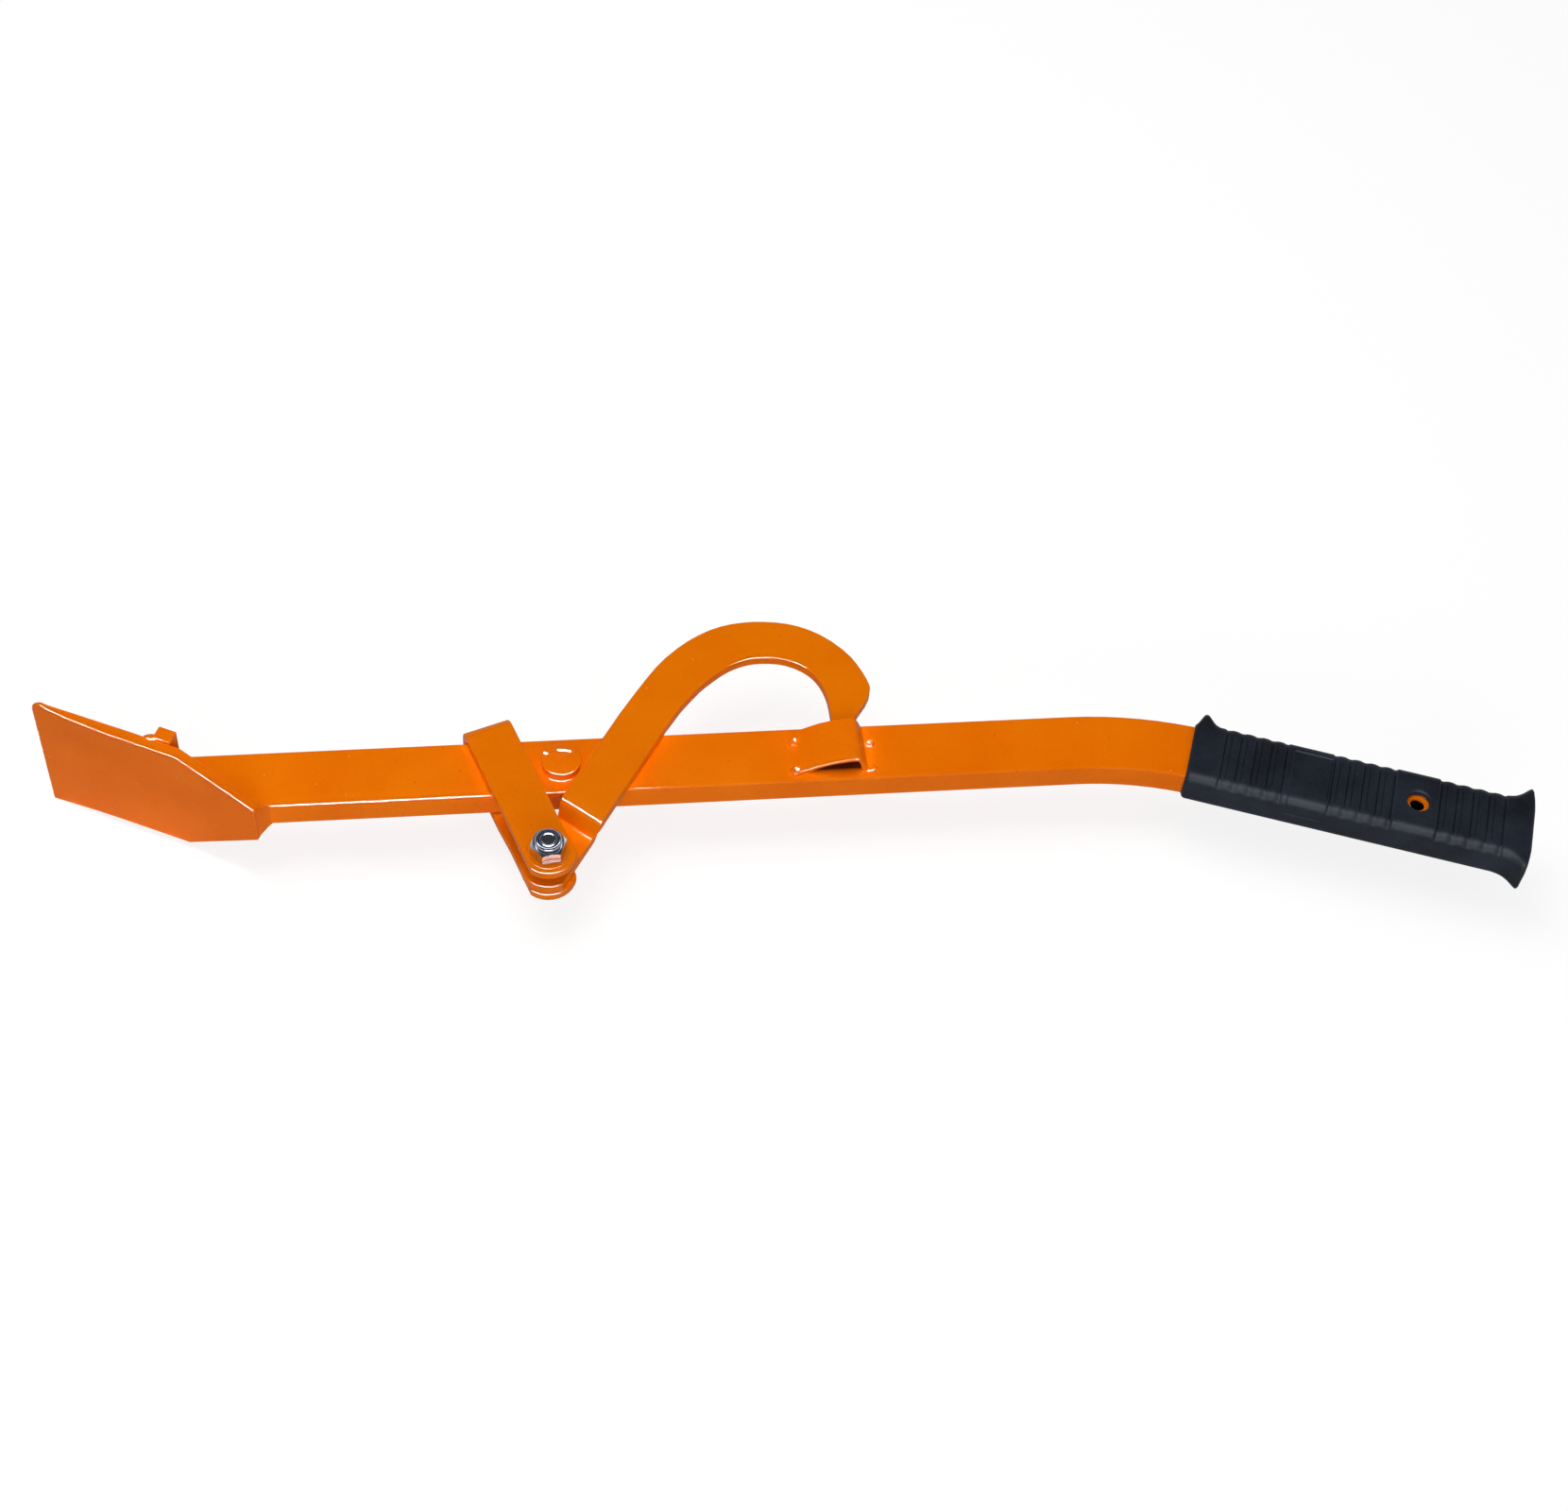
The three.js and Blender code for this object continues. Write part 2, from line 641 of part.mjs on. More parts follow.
function makeStirrup() {
  const { thickness, width, bendInside, joggle } = stirrup;
  const slant = stirrup.direction - Math.PI / 2;
  // The web clears the tube's far edge at the strap's farther corner
  const webInner = (tube.width / 2 - pivot.y) / Math.cos(slant)
    + (width / 2) * Math.tan(slant) + stirrup.webGap;
  const webOuter = webInner + thickness;
  const outerBend = bendInside + thickness;
  const back = -stirrup.endRadius - overrun;
  const low = -stirrup.lowPlay;
  const ramp = [stirrup.joggleDistance, stirrup.joggleDistance + stirrup.joggleLength];
  const profile = [
    [back, topLegUnder],
    ...arcPoints(webInner - bendInside, topLegUnder - bendInside, bendInside, Math.PI / 2, 0, 5),
    ...arcPoints(webInner - bendInside, low + bendInside, bendInside, 0, -Math.PI / 2, 5),
    [ramp[1], low],
    [ramp[0], low + joggle],
    [back, low + joggle],
    [back, low + joggle - thickness],
    [ramp[0], low + joggle - thickness],
    [ramp[1], low - thickness],
    ...arcPoints(webOuter - outerBend, low - thickness + outerBend, outerBend, -Math.PI / 2, 0, 6),
    ...arcPoints(webOuter - outerBend, topLegTop - outerBend, outerBend, 0, Math.PI / 2, 6),
    [back, topLegTop],
  ];
  const strap = profileBar(profile, width + 2 * overrun);
  const outline = shapeOf([
    ...roundEnd(width / 2, width / 2, stirrup.endRadius),
    [webOuter + overrun, -width / 2],
    [webOuter + overrun, width / 2],
  ]);
  const footprint = plate(outline, low - thickness - overrun, topLegTop + overrun);
  const hole = cylinder(bolt.radius + bolt.clearance, -overrun * 2, topLegTop + overrun);
  return strap.intersect(footprint).subtract(hole)
    .rotate([0, 0, stirrup.direction / DEG])
    .translate([pivot.x, pivot.y, 0]);
}

// Along the shank, as shares of the crank's distance: where its right edge starts, and where the
// foot's left edge ends
const shankStartShare = 2.7;
const footEndShare = 0.3;
const foldSide = -1; // the folds turn clockwise, seen from above

const bowSteps = 28; // points along each side of the bow

function makeHook() {
  const { width, footWidth, thickness, offset, crankDistance, crankBend, crankLean, crankSkew } = hook;
  const cos = Math.cos(hook.direction);
  const sin = Math.sin(hook.direction);
  // From along and across the shank to X and Y from the pivot
  const shank = ([along, across]) => [along * cos - across * sin, along * sin + across * cos];
  const left = width / 2 - offset;
  const right = -width / 2 - offset;
  const end = roundEnd(footWidth / 2, footWidth / 2, hook.endRadius);
  const place = ([a, b]) => new THREE.Vector2(a * hook.reach, b * hook.rise);
  const outer = new THREE.SplineCurve(bowOuterShares.map(place)).getPoints(bowSteps);
  const inner = new THREE.SplineCurve(bowInnerShares.map(place)).getPoints(bowSteps);
  const flat = ([x, y]) => new THREE.Vector2(x, y);
  const outline = new THREE.Shape([
    ...end.map(shank).map(flat),
    flat(shank([crankDistance * footEndShare, right])),
    flat(shank([crankDistance * shankStartShare, right])),
    ...inner,
    ...pointShares.map(place).reverse(),
    ...outer.reverse(),
    flat(shank([crankDistance, left])),
    flat(shank([crankDistance * footEndShare, footWidth / 2])),
  ]);
  const footprint = plate(outline, -overrun, hookTop + overrun);
  // The crank, seen along the plate's edge: low at the pivot, high over the tube
  const far = hook.reach + hook.rise;
  const top = [
    [-far, hookLow + thickness],
    [crankDistance, hookLow + thickness],
    [crankDistance + crankLean, hookTop],
    [far, hookTop],
  ];
  const under = offsetLine(top, thickness);
  const profile = [
    under[0],
    ...roundCorner(under[0], under[1], under[2], crankBend),
    ...roundCorner(under[1], under[2], under[3], crankBend - thickness / 2),
    under[3],
    top[3],
    ...roundCorner(top[3], top[2], top[1], crankBend),
    ...roundCorner(top[2], top[1], top[0], crankBend - thickness / 2),
    top[0],
  ];
  // The folds are turned about the middle of the riser
  const crank = profileBar(profile, far * 2)
    .translate([-crankDistance, 0, 0])
    .rotate([0, 0, crankSkew / DEG * foldSide])
    .translate([crankDistance, 0, 0])
    .rotate([0, 0, hook.direction / DEG]);
  // The foot is narrower than the shank, and the riser's right edge slants between them
  const side = shapeOf([
    [-footWidth / 2, -overrun],
    [-footWidth / 2, hookLow + thickness],
    [right, hookHigh],
    [right - overrun, hookHigh],
    [right - overrun, -overrun],
  ]);
  const trim = solid(new THREE.ExtrudeGeometry(side, { depth: far * 2, bevelEnabled: false }))
    .translate([0, 0, -far])
    .rotate([90, 0, 90])
    .rotate([0, 0, hook.direction / DEG]);
  const hole = cylinder(bolt.radius + hook.holeClearance, -overrun, hookTop + overrun);
  return footprint.intersect(crank).subtract(trim).subtract(hole).translate([pivot.x, pivot.y, 0]);
}

// A six-sided prism whose corners are turned off at one end or both
const turnedSlope = Math.tan(39 * DEG);

function hexagon(across, low, high, chamfer, turnedEnds) {
  const corner = across / Math.sqrt(3);
  const clear = corner + chamfer;
  const face = across / 2 - chamfer;
  const drop = (clear - face) * turnedSlope;
  const [lowTurned, highTurned] = turnedEnds;
  const cutter = turned([
    [0, low],
    [lowTurned ? face : clear, low],
    [clear, lowTurned ? low + drop : low + chamfer],
    [clear, highTurned ? high - drop : high - chamfer],
    [highTurned ? face : clear, high],
    [0, high],
  ], 36);
  return cylinder(corner, low, high, 6).intersect(cutter);
}

const ringInner = bolt.radius + lockRing.clearance;
const boltSeat = lowLegUnder - touchGap;
const nutSeat = topLegTop + touchGap;
const hexTurn = 38; // degrees, the nut as the photograph shows it

function makeBolt() {
  const end = nutSeat + nut.height - bolt.recess;
  const shaft = turned([
    [0, boltSeat - bolt.headHeight / 2],
    [bolt.radius, boltSeat - bolt.headHeight / 2],
    [bolt.radius, end - bolt.pointChamfer],
    [bolt.radius - bolt.pointChamfer, end],
    [0, end],
  ], 32);
  const headLow = boltSeat - bolt.headHeight;
  const head = hexagon(bolt.headAcross, headLow, boltSeat, bolt.headChamfer, [true, false])
    .rotate([0, 0, hexTurn]);
  return shaft.add(head).translate([pivot.x, pivot.y, 0]);
}

function makeNut() {
  const { collarRadius, collarRound } = nut;
  const top = nutSeat + nut.height;
  const hex = hexagon(nut.across, nutSeat, nutSeat + nut.hexHeight, nut.chamfer, [false, true]);
  const collar = turned([
    [0, nutSeat + nut.hexHeight / 2],
    [collarRadius, nutSeat + nut.hexHeight / 2],
    ...arcPoints(collarRadius - collarRound, top - collarRound, collarRound, 0, Math.PI / 2, 4),
    [0, top],
  ]);
  const bore = cylinder(bolt.radius + nut.threadClearance, nutSeat - overrun, top + overrun);
  const lip = cylinder(nut.collarLip, top - collarRound, top + overrun);
  const ringTop = top - lockRing.below;
  const seat = cylinder(
    ringInner + lockRing.wall + touchGap / 2,
    ringTop - lockRing.height - touchGap,
    ringTop + touchGap / 2,
  );
  return hex.rotate([0, 0, hexTurn]).add(collar).subtract(bore).subtract(lip).subtract(seat)
    .translate([pivot.x, pivot.y, 0]);
}

function makeLockRing() {
  const top = nutSeat + nut.height - lockRing.below;
  const ring = cylinder(ringInner + lockRing.wall, top - lockRing.height, top);
  const bore = cylinder(ringInner, top - overrun, top + overrun);
  return ring.subtract(bore).translate([pivot.x, pivot.y, 0]);
}

const gripLength = grip.frontDistance + tube.tailLength + touchGap + grip.endWall;

// The value between the points of a table of (share along, value) pairs
function between(table, share) {
  const next = table.findIndex(([at]) => at >= share);
  if (next < 1) return table[next < 0 ? table.length - 1 : 0][1];
  const [a, low] = table[next - 1];
  const [b, high] = table[next];
  return low + ((high - low) * (share - a)) / (b - a);
}

// How deep the top lies below the ribs' crests, at a share of the grip's length
function ribDepth(share) {
  const group = ribGroupShares.find(([from, to]) => share >= from && share <= to);
  if (!group) return 0;
  const wave = ((share - group[0]) / (group[1] - group[0])) * ribsInGroup;
  return grip.groove * between(ribShares, Math.min(wave - Math.floor(wave), 1));
}

// The grip's section at a distance from its front
function gripSection(distance) {
  const fromEnd = gripLength - distance;
  const guard = grip.guardStand * between(guardShares, distance / grip.guardLength);
  const flange = between(flangeShares, fromEnd / grip.flangeLength);
  const front = Math.max(grip.frontRound - distance, 0);
  const end = Math.max(grip.endRound - fromEnd, 0);
  const share = distance / gripLength;
  const pad = share > padShares[0] && share < padShares[1] ? grip.padRise : 0;
  const half = tube.width / 2 + grip.wall;
  return {
    near: -half + front - flange * grip.flangeStand,
    far: half + guard + flange * grip.flangeFarStand + pad,
    low: -grip.wall + front + end,
    high: tube.depth + grip.wall - ribDepth(share) - front / 2 - end + pad,
    radius: grip.cornerRadius,
    perCorner: grip.corner,
  };
}

function makeGrip() {
  const wanted = [
    ...guardShares.map(([share]) => share * grip.guardLength),
    ...flangeShares.map(([share]) => gripLength - share * grip.flangeLength),
    grip.frontRound,
    gripLength - grip.endRound,
  ];
  for (const share of padShares) {
    wanted.push(gripLength * share - touchGap, gripLength * share + touchGap);
  }
  for (const [from, to] of ribGroupShares) {
    const pitch = (to - from) / ribsInGroup;
    for (let index = 0; index < ribsInGroup; index += 1) {
      for (const [along] of ribShares) wanted.push(gripLength * (from + pitch * (index + along)));
    }
  }
  wanted.sort((a, b) => a - b);
  const distances = wanted.filter((d, i) => i === 0 || d - wanted[i - 1] > ringPlay);
  const rings = distances.map((d) => sectionRing(tailLine(d - grip.frontDistance), gripSection(d)));
  const sleeve = loft(rings);
  const hollow = tubeSweep(bendRun - grip.frontDistance - overrun, tubeEndRun + touchGap, touchGap);
  const at = tailLine(grip.holeDistance);
  const hole = cylinder(grip.holeRadius, -overrun, tube.depth + overrun, 28)
    .translate([at.x, at.y, 0]);
  return sleeve.subtract(hollow).subtract(hole);
}

addPiece('lever_bar', makeTube(), colours.orange);
addPiece('blade', makeBlade(), colours.orange);
addPiece('blade_root_weld', makeRootWeld(), colours.orange);
addPiece('upper_heel_rib', makeRib(1), colours.orange);
addPiece('lower_heel_rib', makeRib(-1), colours.orange);
addPiece('upper_rib_weld', makeRibBead(1), colours.orange);
addPiece('lower_rib_weld', makeRibBead(-1), colours.orange);
addPiece('stop_button', makeButton(), colours.orange);
addPiece('hook_keeper', makeKeeper(), colours.orange);
addPiece('keeper_weld_blade_near', makeKeeperWeld(-1, keeperNear + keeper.weldNearInset), colours.orange);
addPiece('keeper_weld_blade_far', makeKeeperWeld(-1, keeperFar - keeper.weldFarInset), colours.orange);
addPiece('keeper_weld_grip_near', makeKeeperWeld(1, keeperNear + keeper.weldNearInset), colours.orange);
addPiece('keeper_weld_grip_far', makeKeeperWeld(1, keeperFar - keeper.weldFarInset), colours.orange);
addPiece('stirrup', makeStirrup(), colours.orange);
addPiece('turning_hook', makeHook(), colours.orange);
addPiece('pivot_bolt', makeBolt(), colours.zinc);
addPiece('pivot_nut', makeNut(), colours.zinc);
addPiece('nut_lock_ring', makeLockRing(), colours.nylon);
addPiece('grip', makeGrip(), colours.rubber);

// The origin: the middle of the whole in X and Y, and the blade's lowest edge in Z
const bounds = new THREE.Box3().setFromObject(lever, true);
const middle = bounds.getCenter(new THREE.Vector3());
lever.position.set(-middle.x, -middle.y, -bounds.min.z);

export default lever;
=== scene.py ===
"""Looks for the felling lever: powder-coated steel, zinc-plated fasteners and a moulded rubber grip.

Lengths are written in millimetres in the lever's own axes (the stop button's axis is X = 0, Y = 0,
and the tube's back is Z = 0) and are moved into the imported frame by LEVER.
"""

import math

import bpy
from mathutils import Euler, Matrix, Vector


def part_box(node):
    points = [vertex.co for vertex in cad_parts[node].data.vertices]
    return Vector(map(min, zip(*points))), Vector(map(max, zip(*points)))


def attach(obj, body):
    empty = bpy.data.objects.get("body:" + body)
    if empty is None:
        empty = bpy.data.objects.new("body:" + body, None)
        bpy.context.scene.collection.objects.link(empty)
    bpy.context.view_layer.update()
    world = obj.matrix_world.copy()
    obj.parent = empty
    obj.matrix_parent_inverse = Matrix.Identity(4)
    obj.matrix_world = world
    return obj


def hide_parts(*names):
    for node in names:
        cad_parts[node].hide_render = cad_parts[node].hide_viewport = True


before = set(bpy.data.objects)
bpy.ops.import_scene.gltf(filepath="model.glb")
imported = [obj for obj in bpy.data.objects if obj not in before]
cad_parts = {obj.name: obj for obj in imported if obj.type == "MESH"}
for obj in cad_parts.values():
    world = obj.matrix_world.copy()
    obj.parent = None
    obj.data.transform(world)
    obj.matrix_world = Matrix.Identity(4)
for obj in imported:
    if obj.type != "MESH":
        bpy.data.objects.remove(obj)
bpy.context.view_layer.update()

MM = 0.001
button_low, button_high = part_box("stop_button")
LEVER = Vector((
    (button_low.x + button_high.x) / 2,
    (button_low.y + button_high.y) / 2,
    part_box("lever_bar")[0].z,
))


def place(x, y, z):
    """A point of the lever's own axes, in millimetres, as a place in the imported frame."""
    return LEVER + Vector((x, y, z)) * MM


def lever_box(node):
    """A CAD node's lowest and highest corners in the lever's own axes, in millimetres."""
    return [(corner - LEVER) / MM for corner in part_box(node)]


# Sizes that the pieces below share with the CAD, in millimetres
TUBE_WIDTH = 36
TUBE_DEPTH = 16
TUBE_CORNER = 1.6
TUBE_TAIL = 171  # the straight stretch after the bend
BEND_START = 281.5
BEND_RADIUS = 210
BEND_ANGLE = math.radians(20.2)
BLADE_DIRECTION = math.radians(25.8)
BLADE_LENGTH = 126
BLADE_THICKNESS = 6.6
BLADE_HEIGHT = 77.4
BLADE_ROOT = Vector((-161.78, -24.46, TUBE_DEPTH / 2))
BLADE_ROOT_HEIGHT = 26.2
RIB_DISTANCE = 66.9  # heel ribs, from the blade's tip
HANGING_HOLE = 116.6  # from the end of the bend

tail_x = BEND_START + BEND_RADIUS * math.sin(BEND_ANGLE)
tail_y = -BEND_RADIUS * (1 - math.cos(BEND_ANGLE))


def on_tail(along, sideways, height):
    """A point by the straight stretch after the bend; sideways grows away from the working side."""
    return (
        tail_x + along * math.cos(BEND_ANGLE) + sideways * math.sin(BEND_ANGLE),
        tail_y - along * math.sin(BEND_ANGLE) + sideways * math.cos(BEND_ANGLE),
        height,
    )


def on_blade(along, height, depth):
    """A point by the blade: along from its tip, height about its middle, depth behind its front face."""
    back = along - BLADE_LENGTH
    return (
        BLADE_ROOT.x + back * math.cos(BLADE_DIRECTION) + depth * math.sin(BLADE_DIRECTION),
        BLADE_ROOT.y - back * math.sin(BLADE_DIRECTION) + depth * math.cos(BLADE_DIRECTION),
        BLADE_ROOT.z + height,
    )


# Materials


def linear(code):
    """An sRGB hex colour as linear RGBA."""
    parts = [int(code[i : i + 2], 16) / 255 for i in (1, 3, 5)]
    return [c / 12.92 if c <= 0.04045 else ((c + 0.055) / 1.055) ** 2.4 for c in parts] + [1.0]


def add(tree, kind, inputs=None, **settings):
    """A node with its settings; an input is a number, a colour or another node's output."""
    node = tree.nodes.new(kind)
    for key, value in settings.items():
        setattr(node, key, value)
    for key, value in (inputs or {}).items():
        if isinstance(value, bpy.types.NodeSocket):
            tree.links.new(value, node.inputs[key])
        else:
            node.inputs[key].default_value = value
    return node


# A Mix node's sockets by number, because several of them share a name. In the materials below, where
# is the output that gives a point's place on its piece, in metres.
FACTOR = 0
NUMBER_A = 2
NUMBER_B = 3
COLOUR_A = 6
COLOUR_B = 7
MIXED_COLOUR = 2


def new_material(name):
    """An empty material and its node tree."""
    material = bpy.data.materials.new(name)
    material.use_nodes = True
    tree = material.node_tree
    tree.nodes.clear()
    return material, tree


COAT_CLOUD = 38  # slow change of film thickness
COAT_GRAIN = 1.3  # orange peel; the real one is finer, and drawn this coarse it still shows
PEEL_HEIGHT = 0.05  # from the peel's hollows to its tops
NIB_SPACING = 8.5  # dust caught in the film
NIB_RADIUS = 0.42
CHIP_SIZE = 2.4  # a flake's usual width
CHIP_START = 0.6  # from here on the chips grow fewer
CHIP_REACH = 2.6  # how far from the cutting edge the film has chipped


def with_nibs(tree, where, film):
    """Dust caught in the film: a nib shows where the middle of a cell lies in the surface."""
    cells = add(tree, "ShaderNodeTexVoronoi", {"Vector": where, "Scale": 1 / (NIB_SPACING * MM)})
    radius = NIB_RADIUS / NIB_SPACING
    nib = add(tree, "ShaderNodeMapRange", {
        "Value": cells.outputs["Distance"],
        "From Min": radius * 0.6,
        "From Max": radius,
        "To Min": 0.75,
        "To Max": 0.0,
    })
    # Some nibs show as a dark speck, the others as a pale one
    dark = add(tree, "ShaderNodeMath", {0: cells.outputs["Color"], 1: 0.45}, operation="GREATER_THAN")
    speck = add(tree, "ShaderNodeMix", {
        FACTOR: dark.outputs[0],
        COLOUR_A: linear("#FFC79A"),
        COLOUR_B: linear("#7C3007"),
    }, data_type="RGBA")
    dusty = add(tree, "ShaderNodeMix", {
        FACTOR: nib.outputs[0],
        COLOUR_A: film,
        COLOUR_B: speck.outputs[MIXED_COLOUR],
    }, data_type="RGBA")
    return dusty.outputs[MIXED_COLOUR]


def with_chips(tree, where, film, edge_point, edge_inward):
    """The film chipped down to pale steel, most of it at the cutting edge, raggedly further in."""
    offset = add(tree, "ShaderNodeVectorMath", {0: where, 1: edge_point}, operation="SUBTRACT")
    inward = add(tree, "ShaderNodeVectorMath", {0: offset.outputs[0], 1: edge_inward},
                 operation="DOT_PRODUCT")
    near = add(tree, "ShaderNodeMapRange", {
        "Value": inward.outputs["Value"],
        "From Min": CHIP_START * MM,
        "From Max": CHIP_REACH * MM,
        "To Min": 0.22,
        "To Max": -0.3,
    })
    bite = add(tree, "ShaderNodeTexNoise", {
        "Vector": where,
        "Scale": 1 / (CHIP_SIZE * MM),
        "Detail": 3.0,
        "Roughness": 0.65,
    })
    worn = add(tree, "ShaderNodeMath", {0: bite.outputs["Fac"], 1: near.outputs[0]}, operation="ADD")
    chip = add(tree, "ShaderNodeMapRange", {
        "Value": worn.outputs[0],
        "From Min": 0.76,
        "From Max": 0.8,
    })
    chipped = add(tree, "ShaderNodeMix", {
        FACTOR: chip.outputs[0],
        COLOUR_A: film,
        COLOUR_B: linear("#F3D9C8"),
    }, data_type="RGBA")
    return chipped.outputs[MIXED_COLOUR]


def paint_in_shade_box(tree, where, film, middle, reach, shade_colour):
    """A soft-edged box, reaching so far on each axis, where a dark colour is painted in as shade."""
    offset = add(tree, "ShaderNodeVectorMath", {0: where, 1: middle}, operation="SUBTRACT")
    shares = add(tree, "ShaderNodeVectorMath", {0: offset.outputs[0], 1: reach}, operation="DIVIDE")
    size = add(tree, "ShaderNodeVectorMath", {0: shares.outputs[0]}, operation="ABSOLUTE")
    axes = add(tree, "ShaderNodeSeparateXYZ", {0: size.outputs[0]}).outputs
    flat = add(tree, "ShaderNodeMath", {0: axes[0], 1: axes[1]}, operation="MAXIMUM")
    far = add(tree, "ShaderNodeMath", {0: flat.outputs[0], 1: axes[2]}, operation="MAXIMUM")
    inside = add(tree, "ShaderNodeMapRange", {
        "Value": far.outputs[0],
        "From Min": 0.9,
        "From Max": 1.0,
        "To Min": 1.0,
        "To Max": 0.0,
    })
    # Painted shade: inside the box the colour is mixed towards the shade's dark colour
    shaded = add(tree, "ShaderNodeMix", {
        FACTOR: inside.outputs[0],
        COLOUR_A: film,
        COLOUR_B: linear(shade_colour),
    }, data_type="RGBA")
    return shaded.outputs[MIXED_COLOUR]


def powder_coat(name, deep, pale, roughness, peel=0.12, chipped_edge=None, shade_boxes=()):
    """Polyester powder coat baked on steel: one strong even colour, semi-gloss, with a fine orange peel.

    It gives sharp white lights along rounded edges, and here and there a nib of dust. On an edge that
    is struck into wood the film is chipped down to pale steel. Inside a tube and under a narrow tunnel
    the shade is painted in as a dark colour. Deep and pale are the colours of a thick and a thin stretch
    of film.
    """
    material, tree = new_material(name)
    where = add(tree, "ShaderNodeTexCoord").outputs["Object"]
    cloud = add(tree, "ShaderNodeTexNoise", {"Vector": where, "Scale": 1 / (COAT_CLOUD * MM)})
    grain = add(tree, "ShaderNodeTexNoise", {
        "Vector": where,
        "Scale": 1 / (COAT_GRAIN * MM),
        "Detail": 3.0,
        "Roughness": 0.7,
    })
    weak = add(tree, "ShaderNodeMath", {0: grain.outputs["Fac"], 1: 0.8}, operation="MULTIPLY")
    both = add(tree, "ShaderNodeMath", {0: weak.outputs[0], 1: cloud.outputs["Fac"]}, operation="ADD")
    spread = add(tree, "ShaderNodeMapRange", {
        "Value": both.outputs[0],
        "From Min": 0.6,
        "From Max": 1.2,
    })
    film = add(tree, "ShaderNodeMix", {
        FACTOR: spread.outputs[0],
        COLOUR_A: linear(deep),
        COLOUR_B: linear(pale),
    }, data_type="RGBA")
    colour = with_nibs(tree, where, film.outputs[MIXED_COLOUR])
    if chipped_edge:
        colour = with_chips(tree, where, colour, *chipped_edge)
    for box_of_shade in shade_boxes:
        colour = paint_in_shade_box(tree, where, colour, *box_of_shade)
    bump = add(tree, "ShaderNodeBump", {
        "Height": grain.outputs["Fac"],
        "Strength": peel,
        "Distance": PEEL_HEIGHT * MM,
    })
    coat = add(tree, "ShaderNodeBsdfPrincipled", {
        "Base Color": colour,
        "Roughness": roughness,
        "IOR": 1.5,
        "Specular IOR Level": 0.1,
        "Normal": bump.outputs[0],
    })
    add(tree, "ShaderNodeOutputMaterial", {"Surface": coat.outputs[0]})
    return material


ZINC_CLOUD = 3.2  # patches of the plating
ZINC_GRAIN = 0.5  # the formed steel under it; drawn coarser than it is, so that it shows
ZINC_HEIGHT = 0.03


def bright_zinc():
    """Bright zinc plated on cold-formed steel: a bluish mirror, a little cloudy where it was dipped."""
    material, tree = new_material("bright_zinc_plate")
    where = add(tree, "ShaderNodeTexCoord").outputs["Object"]
    cloud = add(tree, "ShaderNodeTexNoise", {
        "Vector": where,
        "Scale": 1 / (ZINC_CLOUD * MM),
        "Detail": 3.0,
    })
    colour = add(tree, "ShaderNodeMix", {
        FACTOR: cloud.outputs["Fac"],
        COLOUR_A: linear("#A9B4CC"),
        COLOUR_B: linear("#EDEFF4"),
    }, data_type="RGBA")
    fine = add(tree, "ShaderNodeTexNoise", {"Vector": where, "Scale": 1 / (ZINC_GRAIN * MM)})
    bump = add(tree, "ShaderNodeBump", {
        "Height": fine.outputs["Fac"],
        "Strength": 0.3,
        "Distance": ZINC_HEIGHT * MM,
    })
    plate = add(tree, "ShaderNodeBsdfPrincipled", {
        "Base Color": colour.outputs[MIXED_COLOUR],
        "Metallic": 1.0,
        "Roughness": 0.12,
        "Normal": bump.outputs[0],
    })
    add(tree, "ShaderNodeOutputMaterial", {"Surface": plate.outputs[0]})
    return material


NYLON_GRAIN = 1.5  # patches that the thread has rubbed


def turned_nylon():
    """Blue-grey polyamide of the lock ring: satin, rubbed by the bolt's thread."""
    material, tree = new_material("turned_nylon")
    where = add(tree, "ShaderNodeTexCoord").outputs["Object"]
    grain = add(tree, "ShaderNodeTexNoise", {"Vector": where, "Scale": 1 / (NYLON_GRAIN * MM)})
    colour = add(tree, "ShaderNodeMix", {
        FACTOR: grain.outputs["Fac"],
        COLOUR_A: linear("#303A50"),
        COLOUR_B: linear("#44506A"),
    }, data_type="RGBA")
    ring = add(tree, "ShaderNodeBsdfPrincipled", {
        "Base Color": colour.outputs[MIXED_COLOUR],
        "Roughness": 0.4,
        "IOR": 1.53,
        "Specular IOR Level": 0.15,
    })
    add(tree, "ShaderNodeOutputMaterial", {"Surface": ring.outputs[0]})
    return material


RUBBER_CLOUD = 24  # patches where hands have darkened it
RUBBER_GRAIN = 0.9  # spark-eroded mould; drawn coarser than it is, so that it shows
RUBBER_HEIGHT = 0.08
RUBBER_STREAK = 3.0  # pale rubbed streaks


